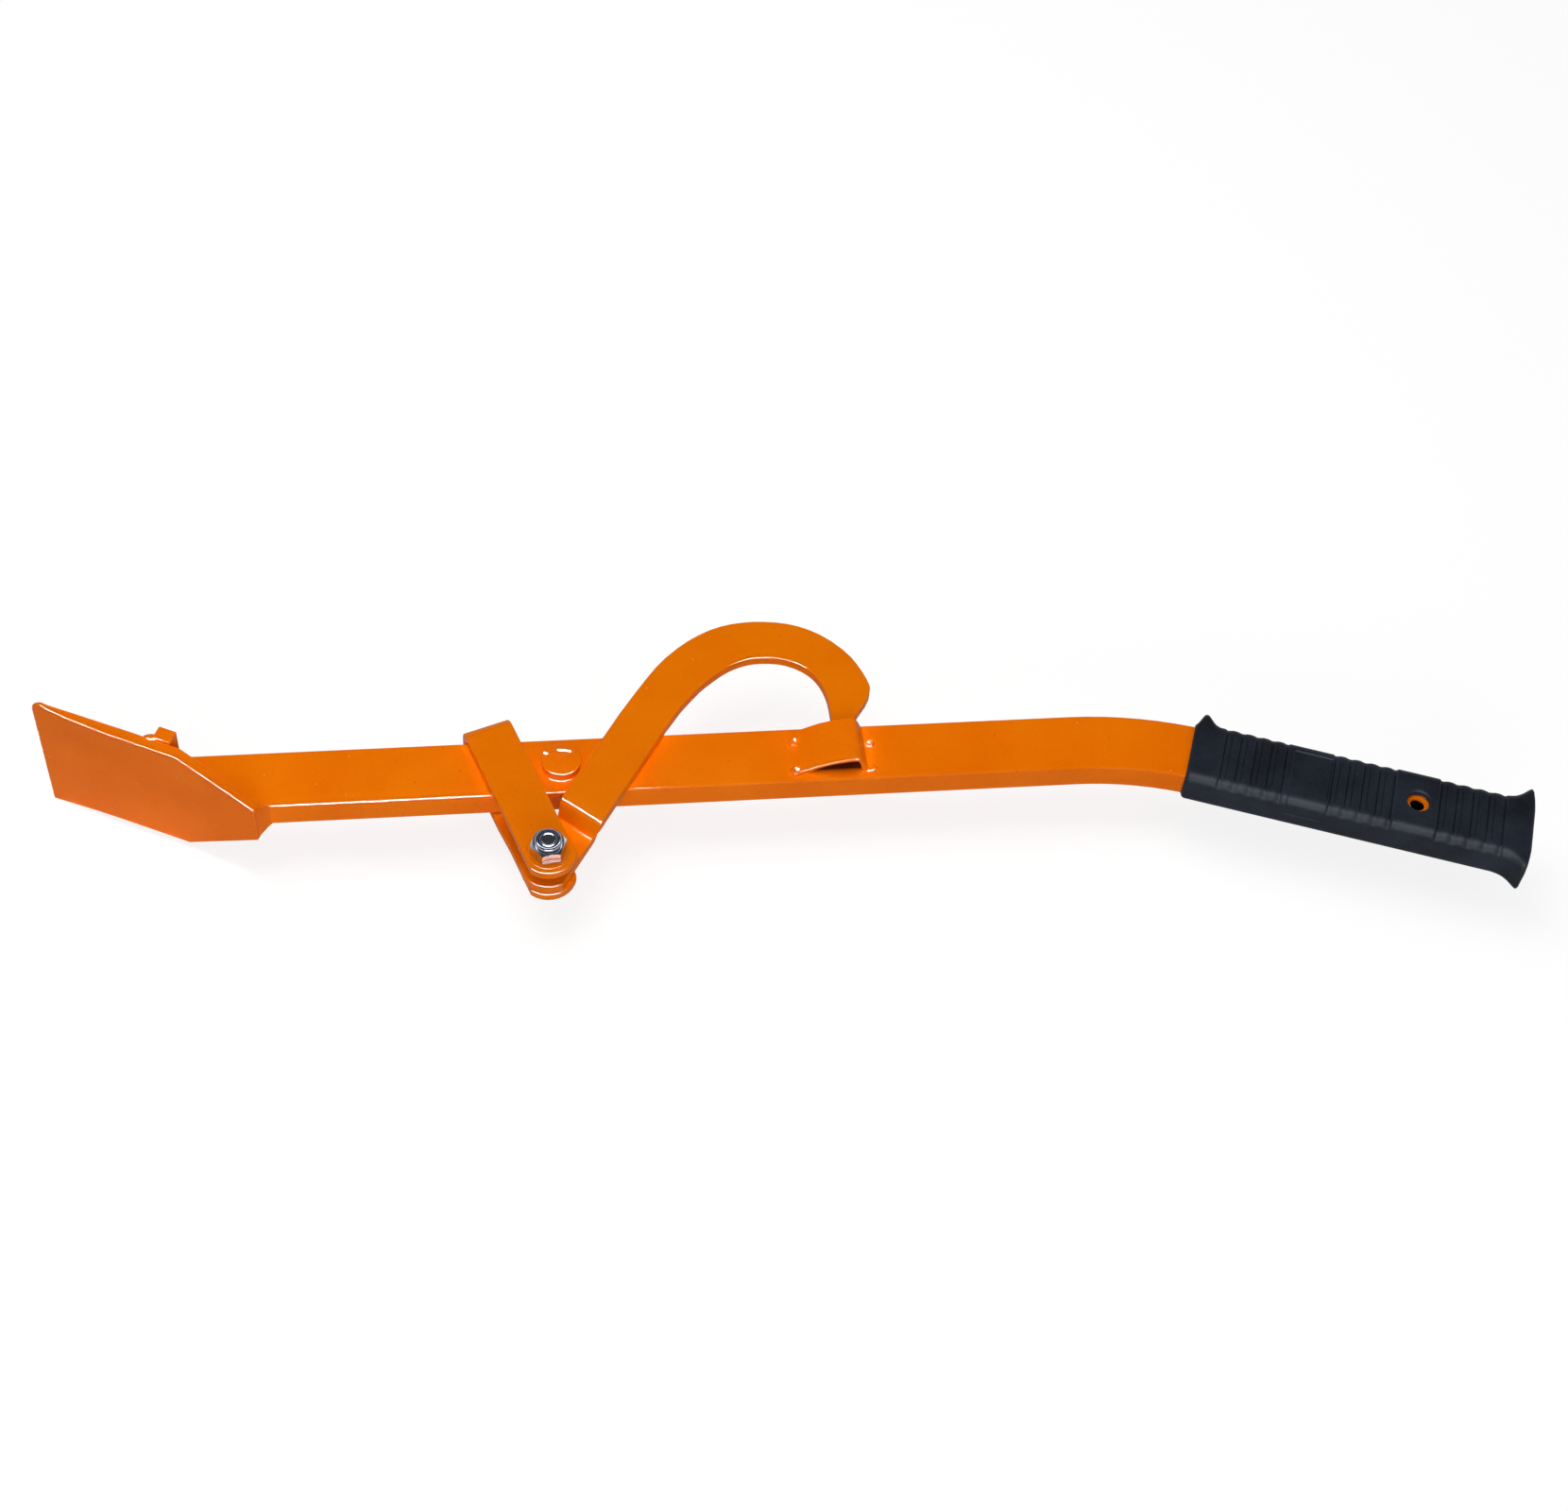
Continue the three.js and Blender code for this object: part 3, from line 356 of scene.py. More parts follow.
def moulded_rubber():
    """Black nitrile rubber from a spark-eroded mould: blue-black and matt, with a fine grain.

    Hands have rubbed faint pale streaks into it, and it keeps a broad weak sheen along rounded edges.
    """
    material, tree = new_material("moulded_black_rubber")
    where = add(tree, "ShaderNodeTexCoord").outputs["Object"]
    cloud = add(tree, "ShaderNodeTexNoise", {
        "Vector": where,
        "Scale": 1 / (RUBBER_CLOUD * MM),
        "Detail": 3.0,
    })
    grain = add(tree, "ShaderNodeTexNoise", {
        "Vector": where,
        "Scale": 1 / (RUBBER_GRAIN * MM),
        "Detail": 3.0,
        "Roughness": 0.75,
    })
    both = add(tree, "ShaderNodeMath", {0: cloud.outputs["Fac"], 1: grain.outputs["Fac"]},
               operation="ADD")
    spread = add(tree, "ShaderNodeMapRange", {
        "Value": both.outputs[0],
        "From Min": 0.75,
        "From Max": 1.3,
    })
    body = add(tree, "ShaderNodeMix", {
        FACTOR: spread.outputs[0],
        COLOUR_A: linear("#0C1017"),
        COLOUR_B: linear("#212A38"),
    }, data_type="RGBA")
    streak = add(tree, "ShaderNodeTexNoise", {
        "Vector": where,
        "Scale": 1 / (RUBBER_STREAK * MM),
        "Detail": 4.0,
        "Distortion": 1.4,
    })
    rubbed = add(tree, "ShaderNodeMapRange", {
        "Value": streak.outputs["Fac"],
        "From Min": 0.62,
        "From Max": 0.82,
        "To Max": 0.3,
    })
    colour = add(tree, "ShaderNodeMix", {
        FACTOR: rubbed.outputs[0],
        COLOUR_A: body.outputs[MIXED_COLOUR],
        COLOUR_B: linear("#3A424F"),
    }, data_type="RGBA")
    bump = add(tree, "ShaderNodeBump", {
        "Height": grain.outputs["Fac"],
        "Strength": 0.45,
        "Distance": RUBBER_HEIGHT * MM,
    })
    rubber = add(tree, "ShaderNodeBsdfPrincipled", {
        "Base Color": colour.outputs[MIXED_COLOUR],
        "Roughness": 0.45,
        "IOR": 1.52,
        "Specular IOR Level": 0.25,
        "Normal": bump.outputs[0],
    })
    add(tree, "ShaderNodeOutputMaterial", {"Surface": rubber.outputs[0]})
    return material


# Painted shade: a dark colour painted in where shade falls, in the room in the tube under the hanging
# hole and in the tunnel under the keeper. Each is a middle, a reach on each axis and the painted shade's
# colour.
TUBE_ROOM_REACH = (22, 22, 5.6)
TUNNEL_REACH = (16.6, 13.7, 2.9)
TUNNEL_OFFSET = 0.4  # the tunnel's middle, away from the working side
TUNNEL_HEIGHT = 2.4  # and over the tube's face
keeper_low, keeper_high = lever_box("hook_keeper")
keeper_middle = (keeper_low + keeper_high) / 2
# Painted shade in the tube under the hanging hole: near black where its inside lies in shade
tube_inside_shade = (
    place(*on_tail(HANGING_HOLE, 0, TUBE_DEPTH / 2)),
    Vector(TUBE_ROOM_REACH) * MM,
    "#0D0C0C",
)
# Painted shade in the tunnel under the keeper: dark red-brown where the roof shades the tube
under_keeper_shade = (
    place(keeper_middle.x, keeper_middle.y + TUNNEL_OFFSET, TUBE_DEPTH + TUNNEL_HEIGHT),
    Vector(TUNNEL_REACH) * MM,
    "#5A2414",
)
# The blade's cutting edge: a point on it, and the direction into the blade
blade_edge = (
    place(*on_blade(0, 0, 0)),
    Vector((math.cos(BLADE_DIRECTION), -math.sin(BLADE_DIRECTION), 0)),
)
# The bar's paint carries painted shade in the tube and under the keeper
BAR_COAT = powder_coat(
    "powder_coat_bar", "#E46A00", "#ED7602", 0.07, shade_boxes=(tube_inside_shade, under_keeper_shade)
)
# The paint pools and levels on the small fittings
FITTING_COAT = powder_coat("powder_coat_fittings", "#E46A00", "#ED7602", 0.05, peel=0.02)
HOOK_COAT = powder_coat("powder_coat_hook", "#DD6B00", "#E67601", 0.07)
BLADE_COAT = powder_coat("powder_coat_blade", "#E06600", "#EA7104", 0.07, chipped_edge=blade_edge)
ZINC = bright_zinc()
NYLON = turned_nylon()
RUBBER = moulded_rubber()


# The CAD pieces that stay: the finish of each, and by how many millimetres its edges are broken
DRESS = {
    "lever_bar": (BAR_COAT, 0),
    "blade": (BLADE_COAT, 0.8),
    "upper_heel_rib": (BLADE_COAT, 0.9),
    "lower_heel_rib": (BLADE_COAT, 0.9),
    "hook_keeper": (FITTING_COAT, 0.55),
    "stirrup": (HOOK_COAT, 0.8),
    "turning_hook": (HOOK_COAT, 0.7),
    "pivot_bolt": (ZINC, 0.25),
    "pivot_nut": (ZINC, 0.25),
    "nut_lock_ring": (NYLON, 0.2),
}
JOIN_DISTANCE = 0.005
EDGE_SEGMENTS = 4
SHARP_CORNER = math.radians(28)
FLAT = math.radians(1)
# The folds of these have short facets, which would hold their rounding back
UNCLAMPED = {"turning_hook", "stirrup"}


def soften(piece, edge):
    """Smooth shading, and sharp edges rounded by so many millimetres."""
    weld = piece.modifiers.new("Join", "WELD")
    weld.merge_threshold = JOIN_DISTANCE * MM
    if edge:
        whole_faces = piece.modifiers.new("Whole faces", "DECIMATE")
        whole_faces.decimate_type = "DISSOLVE"
        whole_faces.angle_limit = FLAT
        bevel = piece.modifiers.new("Edges", "BEVEL")
        bevel.width = edge * MM
        bevel.segments = EDGE_SEGMENTS
        bevel.limit_method = "ANGLE"
        bevel.angle_limit = SHARP_CORNER
        bevel.use_clamp_overlap = piece.name not in UNCLAMPED
    piece.data.polygons.foreach_set("use_smooth", [True] * len(piece.data.polygons))
    normals = piece.modifiers.new("Shading", "WEIGHTED_NORMAL")
    normals.keep_sharp = True


def dress_cad_pieces():
    """Gives each CAD piece that stays its finish and its broken edges."""
    for name, (finish, edge) in DRESS.items():
        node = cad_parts[name]
        for slot in node.material_slots:
            slot.material = finish
        soften(node, edge)


dress_cad_pieces()


# New pieces


def add_piece(name, points, faces, material, body, slot):
    """A mesh piece from points in the lever's millimetres, riding on a CAD body."""
    mesh = bpy.data.meshes.new(name)
    mesh.from_pydata([place(*p) for p in points], [], faces)
    mesh.validate()
    mesh.materials.append(material)
    mesh.polygons.foreach_set("use_smooth", [True] * len(mesh.polygons))
    piece = bpy.data.objects.new(name, mesh)
    bpy.context.scene.collection.objects.link(piece)
    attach(piece, body)
    return piece


def skin(rings, looped=False):
    """Points and faces over a row of rings: closed at both ends, or looped back to the first ring."""
    size = len(rings[0])
    points = [p for ring in rings for p in ring]
    faces = []
    for r in range(len(rings) if looped else len(rings) - 1):
        base = r * size
        upper = (r + 1) % len(rings) * size
        for i in range(size):
            j = (i + 1) % size
            faces.append((base + i, base + j, upper + j, upper + i))
    if not looped:
        last = len(points) - size
        faces.append(tuple(range(size - 1, -1, -1)))
        faces.append(tuple(range(last, last + size)))
    return points, faces


def turned(profile, centre, steps):
    """Rings of a body turned about Z, one for each (radius, height) pair."""
    angles = [2 * math.pi * i / steps for i in range(steps)]
    return [
        [(centre[0] + radius * math.cos(a), centre[1] + radius * math.sin(a), height) for a in angles]
        for radius, height in profile
    ]


def smooth_step(start, end, value):
    """From 0 at start to 1 at end, easing in and out; end may lie below start."""
    share = min(max((value - start) / (end - start), 0.0), 1.0)
    return share * share * (3 - 2 * share)


def between(first, last, soft, value):
    """1 between two places and 0 outside them, easing over so much on both sides of each."""
    return smooth_step(first - soft, first + soft, value) * smooth_step(last + soft, last - soft, value)


def flowing(table, share):
    """The value at a share along a smooth line through a table of (share, value) pairs."""
    share = min(max(share, table[0][0]), table[-1][0])
    last = len(table) - 1
    index = min(next(i for i in range(last) if share <= table[i + 1][0]), last - 1)

    def slope(i):
        """How steeply the line passes one point of the table."""
        before = table[max(i - 1, 0)]
        after = table[min(i + 1, last)]
        return (after[1] - before[1]) / (after[0] - before[0])

    start, low = table[index]
    end, high = table[index + 1]
    run = end - start
    t = (share - start) / run
    return (
        low * (1 + 2 * t) * (1 - t) ** 2
        + high * t * t * (3 - 2 * t)
        + run * t * (1 - t) * (slope(index) * (1 - t) - slope(index + 1) * t)
    )


# Grip: a moulded rubber sleeve with a finger guard, rib groups, an end flange and a hanging hole

GRIP_WALL = 3.3
GRIP_CORNER = 6
GRIP_FRONT = 9.5  # before the end of the tube's bend
GRIP_END_WALL = 9
GRIP_PLAY = 0.3
END_DOME = 1.0  # how far the middle of the end stands out of its rim
END_INSET = 0.25  # how far that rim lies inside the CAD's end
GRIP_LENGTH = GRIP_FRONT + TUBE_TAIL + GRIP_PLAY + GRIP_END_WALL - END_INSET
HALF_WIDTH = TUBE_WIDTH / 2 + GRIP_WALL
FRONT_ROUND = 2.6
END_ROUND = 2.4
GUARD_STAND = 6.8  # the finger guard, on the side away from the working side
GUARD_LENGTH = 13.7
FLANGE_STAND = 7.6  # the end flange, on the working side
FLANGE_FAR_STAND = 8.4
FLANGE_LENGTH = 17
# How far along the guard and the flange, and how far they stand out
GUARD_SHARES = (
    (0, -0.24), (0.07, -0.1), (0.15, 0.2), (0.235, 0.62), (0.31, 0.92), (0.39, 1),
    (0.47, 0.96), (0.58, 0.71), (0.7, 0.4), (0.84, 0.14), (1, 0),
)
FLANGE_SHARES = (
    (0, -0.5), (0.03, 0), (0.08, 0.66), (0.14, 1), (0.265, 0.84), (0.42, 0.5), (0.62, 0.2),
    (0.82, 0.06), (1, 0),
)

# From the end of the bend: where each rib group starts and ends
RIB_GROUPS = ((8.5, 42.4), (69.0, 102.5), (128.3, 163.5))
RIBS_IN_GROUP = 4
RIB_DEPTH = 0.8
RIB_SHARPNESS = 1.5  # above 1, the hollows between the crests are narrow
RIB_FADE = 1.4  # outside a group its first and last hollow run out over this length
RIB_LINES = ((0.0, 0.7), (3.0, 0.4))  # thin cuts in each rib: how far from its start, and how deep
LINE_HALF = 0.32
LINE_END = 15.4  # the cuts stop here on both sides of the middle
LINE_RUN_OUT = 0.8
SUNK_FIELD = (46.5, 67.6)
FIELD_FAR_EDGE = 14.4
FIELD_LOW_EDGE = 7.8
FIELD_SINK = 0.45
FIELD_SOFT_ENDS = 0.4  # how far its edges ease in on both sides
FIELD_SOFT_FAR = 0.5
FIELD_SOFT_LOW = 0.6
OUTLINE_DEPTH = 0.45  # the thin cuts along the field's far edge and one end
OUTLINE_HALF = 0.4
OUTLINE_SOFT = 0.2
OUTLINE_CORNER = (15, 14)  # sideways, where the cut at the end starts, and where it is full
PAD_FIELD = (103.4, 127.6)
PAD_RISE = 0.4
PAD_SOFT = 0.5
HOLE_RADIUS = 6.2
# The hole's rounded lip: how far outside its radius, and how far in from the face
HOLE_LIP = ((3, -2), (1.0, 0), (0.35, 0.35), (0, 1.0))
HOLE_STEPS = 48
# The marks are cut in the top and fade as the skin turns down: how far it faces up where they
# start, and where they are full
RIBS_FACE = (0.0, 0.75)
LINES_FACE = (0.5, 1.0)
PAD_FACE = (0.1, 0.9)

# Steps round each corner of a section, and along its flats: the top and the back, and the sides
CORNER_STEPS = 8
FLAT_STEPS = (26, 10)
# Shares along the top and the near side where the sunk field's edges need closer points
FIELD_SHARES = {0: (0.01, 0.02, 0.03, 0.045), 1: (0.46, 0.49, 0.52, 0.55)}
# Rings of the skin: how far apart, how far from the front and the end, and how far from each cut
RING_SPACING = 0.9
FRONT_RINGS = (0.1, 0.35, 1.0, 1.8)
END_RINGS = (0.12, 0.4)
CUT_RINGS = (-0.55, -LINE_HALF, 0.0, LINE_HALF, 0.55)
CUT_CLEAR = 0.6  # no other ring lies as near a cut as this
DOME_RINGS = (0.9, 0.7, 0.4, 0.1)
BORE_STEPS = 60
SMOOTH_TURN = math.radians(38)


def rounded_section(near, far, low, high, corner):
    """Points round a rounded rectangle, (sideways, height, outward normal), along its flats too."""
    centres = (
        (far - corner, high - corner),
        (near + corner, high - corner),
        (near + corner, low + corner),
        (far - corner, low + corner),
    )
    points = []
    for quarter, (y, z) in enumerate(centres):
        for step in range(CORNER_STEPS + 1):
            angle = (quarter + step / CORNER_STEPS) * math.pi / 2
            ny = math.cos(angle)
            nz = math.sin(angle)
            points.append((y + corner * ny, z + corner * nz, ny, nz))
        y0, z0, ny, nz = points[-1]
        next_y, next_z = centres[(quarter + 1) % 4]
        y1 = next_y + corner * ny
        z1 = next_z + corner * nz
        flat = FLAT_STEPS[quarter % 2]
        shares = [step / flat for step in range(1, flat)]
        shares += FIELD_SHARES.get(quarter, ())
        for share in sorted(shares):
            points.append((y0 + (y1 - y0) * share, z0 + (z1 - z0) * share, ny, nz))
    return points


def rib_line_places():
    """Each thin cut of the rib groups as (place along the grip, depth)."""
    for first, last in RIB_GROUPS:
        pitch = (last - first) / RIBS_IN_GROUP
        for rib in range(RIBS_IN_GROUP):
            for offset, depth in RIB_LINES:
                yield first + rib * pitch + offset, depth
        yield last, RIB_LINES[0][1]


RIB_CUTS = list(rib_line_places())


def rib_sink(along):
    """How far the scalloped ribs lie below their crests."""
    for first, last in RIB_GROUPS:
        if first <= along <= last:
            pitch = (last - first) / RIBS_IN_GROUP
            turn = (along - first) / pitch * 2 * math.pi
            return RIB_DEPTH * (0.5 + 0.5 * math.cos(turn)) ** RIB_SHARPNESS
    edges = [edge for group in RIB_GROUPS for edge in group]
    nearest = min(abs(along - edge) for edge in edges)
    return RIB_DEPTH * smooth_step(RIB_FADE, 0.0, nearest)


def cut_sink(along, sideways, nz):
    """The thin cuts in the top, each a V with its ends run out."""
    depth = max(cut * max(0.0, 1 - abs(along - line) / LINE_HALF) for line, cut in RIB_CUTS)
    run_out = smooth_step(LINE_END + LINE_RUN_OUT, LINE_END - LINE_RUN_OUT, abs(sideways))
    return depth * run_out * smooth_step(*LINES_FACE, nz)


def field_outline(along, sideways, nz):
    """Thin cuts along the far edge and the grip side of the sunk field."""
    first, last = SUNK_FIELD
    far_cut = max(0.0, 1 - abs(sideways - FIELD_FAR_EDGE) / OUTLINE_HALF)
    far_cut *= between(first, last, OUTLINE_SOFT, along)
    end_cut = max(0.0, 1 - abs(along - last) / LINE_HALF)
    end_cut *= smooth_step(*OUTLINE_CORNER, abs(sideways))
    return OUTLINE_DEPTH * max(far_cut, end_cut) * smooth_step(*LINES_FACE, nz)


def field_sink(along, sideways, height):
    """The sunk field between the first two rib groups, over the top and the near edge."""
    inside = between(*SUNK_FIELD, FIELD_SOFT_ENDS, along)
    inside *= smooth_step(FIELD_FAR_EDGE + FIELD_SOFT_FAR, FIELD_FAR_EDGE - FIELD_SOFT_FAR, sideways)
    inside *= smooth_step(FIELD_LOW_EDGE - FIELD_SOFT_LOW, FIELD_LOW_EDGE + FIELD_SOFT_LOW, height)
    return FIELD_SINK * inside


def pad_rise(along, nz):
    """The raised field round the hanging hole."""
    return PAD_RISE * between(*PAD_FIELD, PAD_SOFT, along) * smooth_step(*PAD_FACE, nz)


def rounding(radius, distance):
    """How far a rounded end has turned in, this far from its face."""
    left = max(radius - distance, 0.0)
    return radius - math.sqrt(radius * radius - left * left)


def grip_ring(distance):
    """One ring of the grip's skin at a distance from its front, in the lever's millimetres."""
    from_end = GRIP_LENGTH - distance
    along = distance - GRIP_FRONT
    guard = GUARD_STAND * flowing(GUARD_SHARES, distance / GUARD_LENGTH)
    flange = flowing(FLANGE_SHARES, from_end / FLANGE_LENGTH)
    # At the front the top turns in half as far as the near side and the back
    front = rounding(FRONT_ROUND, distance)
    end = rounding(END_ROUND, from_end)
    section = rounded_section(
        -HALF_WIDTH + front - flange * FLANGE_STAND,
        HALF_WIDTH + guard + flange * FLANGE_FAR_STAND,
        -GRIP_WALL + front + end,
        TUBE_DEPTH + GRIP_WALL - front / 2 - end,
        GRIP_CORNER,
    )
    ring = []
    for sideways, height, ny, nz in section:
        sink = rib_sink(along) * smooth_step(*RIBS_FACE, nz)
        sink += cut_sink(along, sideways, nz) + field_outline(along, sideways, nz)
        sink += field_sink(along, sideways, height) - pad_rise(along, nz)
        ring.append(on_tail(along, sideways - sink * ny, height - sink * nz))
    return ring


def bore_ring(along):
    """A ring just off the tube's skin, where the sleeve's bore runs."""
    half = TUBE_WIDTH / 2 + GRIP_PLAY
    section = rounded_section(
        -half, half, -GRIP_PLAY, TUBE_DEPTH + GRIP_PLAY, TUBE_CORNER + GRIP_PLAY
    )
    return [on_tail(along, sideways, height) for sideways, height, _, _ in section]


def skin_places():
    """Where the skin's rings lie from the grip's front: evenly, and closer at its ends and cuts."""
    count = int(GRIP_LENGTH / RING_SPACING)
    places = [GRIP_LENGTH * i / count for i in range(count + 1)]
    places += FRONT_RINGS
    places += [GRIP_LENGTH - gap for gap in END_RINGS]
    lines = [line for line, _ in RIB_CUTS] + list(SUNK_FIELD)
    places = [d for d in places if all(abs(d - GRIP_FRONT - line) > CUT_CLEAR for line in lines)]
    for line in lines:
        places += [line + GRIP_FRONT + gap for gap in CUT_RINGS]
    return sorted(set(round(distance, 3) for distance in places))


def dome_rings(rim):
    """Ever smaller rings over the grip's end, rising to its middle."""
    rim = [Vector(p) for p in rim]
    middle = sum(rim, Vector()) / len(rim)
    outward = Vector((math.cos(BEND_ANGLE), -math.sin(BEND_ANGLE), 0))
    for share in DOME_RINGS:
        rise = END_DOME * (1 - share * share)
        yield [tuple(middle + (p - middle) * share + outward * rise) for p in rim]


def cut(piece, rings):
    """Takes a closed form away from a piece for good."""
    points, faces = skin(rings)
    mesh = bpy.data.meshes.new("cutter")
    mesh.from_pydata([place(*p) for p in points], [], faces)
    cutter = bpy.data.objects.new("cutter", mesh)
    bpy.context.scene.collection.objects.link(cutter)
    change = piece.modifiers.new("Cut", "BOOLEAN")
    change.object = cutter
    change.operation = "DIFFERENCE"
    change.solver = "EXACT"
    depsgraph = bpy.context.evaluated_depsgraph_get()
    piece_mesh = bpy.data.meshes.new_from_object(piece.evaluated_get(depsgraph))
    piece.modifiers.remove(change)
    piece.data = piece_mesh
    bpy.data.objects.remove(cutter)


def rubber_grip():
    """The sleeve in one skin: the bore from its blind end to the front, and the outside from there."""
    bore_end = TUBE_TAIL + GRIP_PLAY
    bore_length = bore_end + GRIP_FRONT
    rings = [bore_ring(bore_end - bore_length * i / BORE_STEPS) for i in range(BORE_STEPS + 1)]
    rings += [grip_ring(distance) for distance in skin_places()]
    rings += dome_rings(rings[-1])
    grip = add_piece("rubber_grip", *skin(rings), RUBBER, "lever", "black_rubber")
    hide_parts("grip")
    hole_x, hole_y, _ = on_tail(HANGING_HOLE, 0, 0)
    low = -GRIP_WALL
    top = TUBE_DEPTH + GRIP_WALL + PAD_RISE
    spool = [(HOLE_RADIUS + outside, low + inward) for outside, inward in HOLE_LIP]
    spool += [(HOLE_RADIUS + outside, top - inward) for outside, inward in reversed(HOLE_LIP)]
    cut(grip, turned(spool, (hole_x, hole_y), HOLE_STEPS))
    grip.data.polygons.foreach_set("use_smooth", [True] * len(grip.data.polygons))
    grip.data.set_sharp_from_angle(angle=SMOOTH_TURN)


rubber_grip()


# Welds: the CAD keeps each as a plain solid, and here each has the form that it froze in

PUDDLE_STEPS = 40
PUDDLE_ROWS = 12
PUDDLE_ROWS_REACH = 0.98  # how far in from the rim the rows go, before a small face closes them
PUDDLE_SINK = 0.3  # the puddle's foot, below the tube's face
THREE_CORNERS = 0.07  # how much three and five blunt corners stand out of its round outline
FIVE_CORNERS = 0.05
# Shares of the way out from a puddle's middle: the crater's floor, and the crest of the ridge
CRATER_FLOOR = 0.15
RIDGE_CREST = 0.62
# Height of the ridge on average, and how much more it is away from the open side
RIDGE_MEAN = 0.72
RIDGE_TILT = 0.28


def weld_puddle(node, centre, radii, height, crater, open_side):
    """A spot weld on the tube: a ridge round a crater, lowest towards its open side."""
    wide, deep = radii
    rings = []
    for row in range(PUDDLE_ROWS + 1):
        share = 1 - row / PUDDLE_ROWS * PUDDLE_ROWS_REACH
        ring = []
        for step in range(PUDDLE_STEPS):
            angle = 2 * math.pi * step / PUDDLE_STEPS
            # The corners' places come from the weld's own place, so that no two welds are alike
            wobble = 1 + THREE_CORNERS * math.sin(3 * angle + centre[1])
            wobble += FIVE_CORNERS * math.sin(5 * angle - centre[0])
            ridge = smooth_step(1.0, RIDGE_CREST, share)
            ridge *= 1 - crater * smooth_step(RIDGE_CREST, CRATER_FLOOR, share)
            ridge *= RIDGE_MEAN - RIDGE_TILT * math.cos(angle - open_side)
            ring.append((
                centre[0] + wide * share * wobble * math.cos(angle),
                centre[1] + deep * share * wobble * math.sin(angle),
                TUBE_DEPTH + height * ridge,
            ))
        rings.append(ring)
    rings.insert(0, [(x, y, TUBE_DEPTH - PUDDLE_SINK) for x, y, _ in rings[0]])
    name = node.replace("weld", "puddle")
    puddle = add_piece(name, *skin(rings), FITTING_COAT, "lever", "orange_powder_coat")
    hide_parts(node)


# Centre, half widths along X and Y, height, depth of the crater as a share, and the open side's angle
weld_puddle("keeper_weld_blade_near", (126.6, -11.3), (4.3, 3.7), 2.0, 0.75, 0.3)
weld_puddle("keeper_weld_blade_far", (127.3, 8.0), (4.3, 3.6), 2.0, 0.75, 0.3)
weld_puddle("keeper_weld_grip_near", (167.6, -11.5), (3.2, 2.5), 1.2, 0.2, 2.6)
weld_puddle("keeper_weld_grip_far", (168.2, 5.2), (2.9, 2.7), 1.5, 0.95, 3.4)

BEAD_RADIUS = 3.1
BEAD_WIDENING = 1.35  # it spreads further along the blade than up the rib
BEAD_ASIDE = 0.9  # its middle lies this far from the rib's edge, towards the blade's tip
BEAD_ABOVE = 0.5  # and this far off the blade's back
BEAD_WAVER = 0.5
BEAD_ROW = 0.35
BEAD_STEPS = 24
RIPPLE_PITCH = 1.7
RIPPLE_DEPTH = 0.12  # as a share of the bead's radius, like the heap
HEAP_RISE = 0.12
HEAP_LENGTHS = (7, 1.5)  # from the swollen end: where the heap starts, and where it is full
CAP_TIP = 0.01  # so that the first and the last row keep some width


def weld_bead(node, low, high, swollen_end):
    """A fillet weld in the corner beside a rib, laid in ripples and heaped where the arc was broken."""
    count = int(abs(high - low) / BEAD_ROW)
    rings = []
    for row in range(count + 1):
        height = low + (high - low) * row / count
        ripple = RIPPLE_DEPTH * abs(math.sin(math.pi * height / RIPPLE_PITCH))
        heap = HEAP_RISE * smooth_step(*HEAP_LENGTHS, abs(height - swollen_end))
        to_end = min(row, count - row) * BEAD_ROW
        cap = math.sqrt(max(1 - max(1 - to_end / BEAD_RADIUS, 0) ** 2, CAP_TIP))
        radius = BEAD_RADIUS * (1 - ripple + heap) * cap
        ring = []
        for step in range(BEAD_STEPS):
            angle = 2 * math.pi * step / BEAD_STEPS
            ring.append(on_blade(
                RIB_DISTANCE - BEAD_ASIDE + radius * BEAD_WIDENING * math.cos(angle),
                height + BEAD_WAVER * math.sin(angle * 2) * cap,
                BLADE_THICKNESS + BEAD_ABOVE + radius * math.sin(angle),
            ))
        rings.append(ring)
    name = node.replace("weld", "bead")
    bead = add_piece(name, *skin(rings), BLADE_COAT, "lever", "orange_powder_coat")
    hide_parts(node)


BEAD_OVERRUN = 0.9  # past the blade's long edge
tube_edge = TUBE_DEPTH / 2
bead_end = BLADE_HEIGHT / 2 + BEAD_OVERRUN
weld_bead("upper_rib_weld", tube_edge, bead_end, bead_end)
weld_bead("lower_rib_weld", -bead_end, -tube_edge, -bead_end)

FILLET_ROWS = 16
FILLET_STEPS = 12
FILLET_LEG = 5.4  # how far it runs on along the tube
FILLET_FRONT = 0.7  # it starts this far behind the blade's front face
FILLET_ENDS = (0.4, 0.5)  # and stops this far inside the ends of the blade's root and the tube's side
# How deep its points lie in the steel: in the blade's end, and in the tube's side
IN_BLADE = 0.3
FINISH_IN_TUBE = 0.25
CORNER_IN_TUBE = 0.4
HEEL_IN_TUBE = 1.2
HEEL_BACK = 0.4
FILLET_SWELL = 0.9
FILLET_RIPPLE = 0.16
FILLET_TURNS = 19  # of the ripple, in radians from the middle row to the last
FILLET_OUTWARD = Vector((0.72, -0.69, 0))


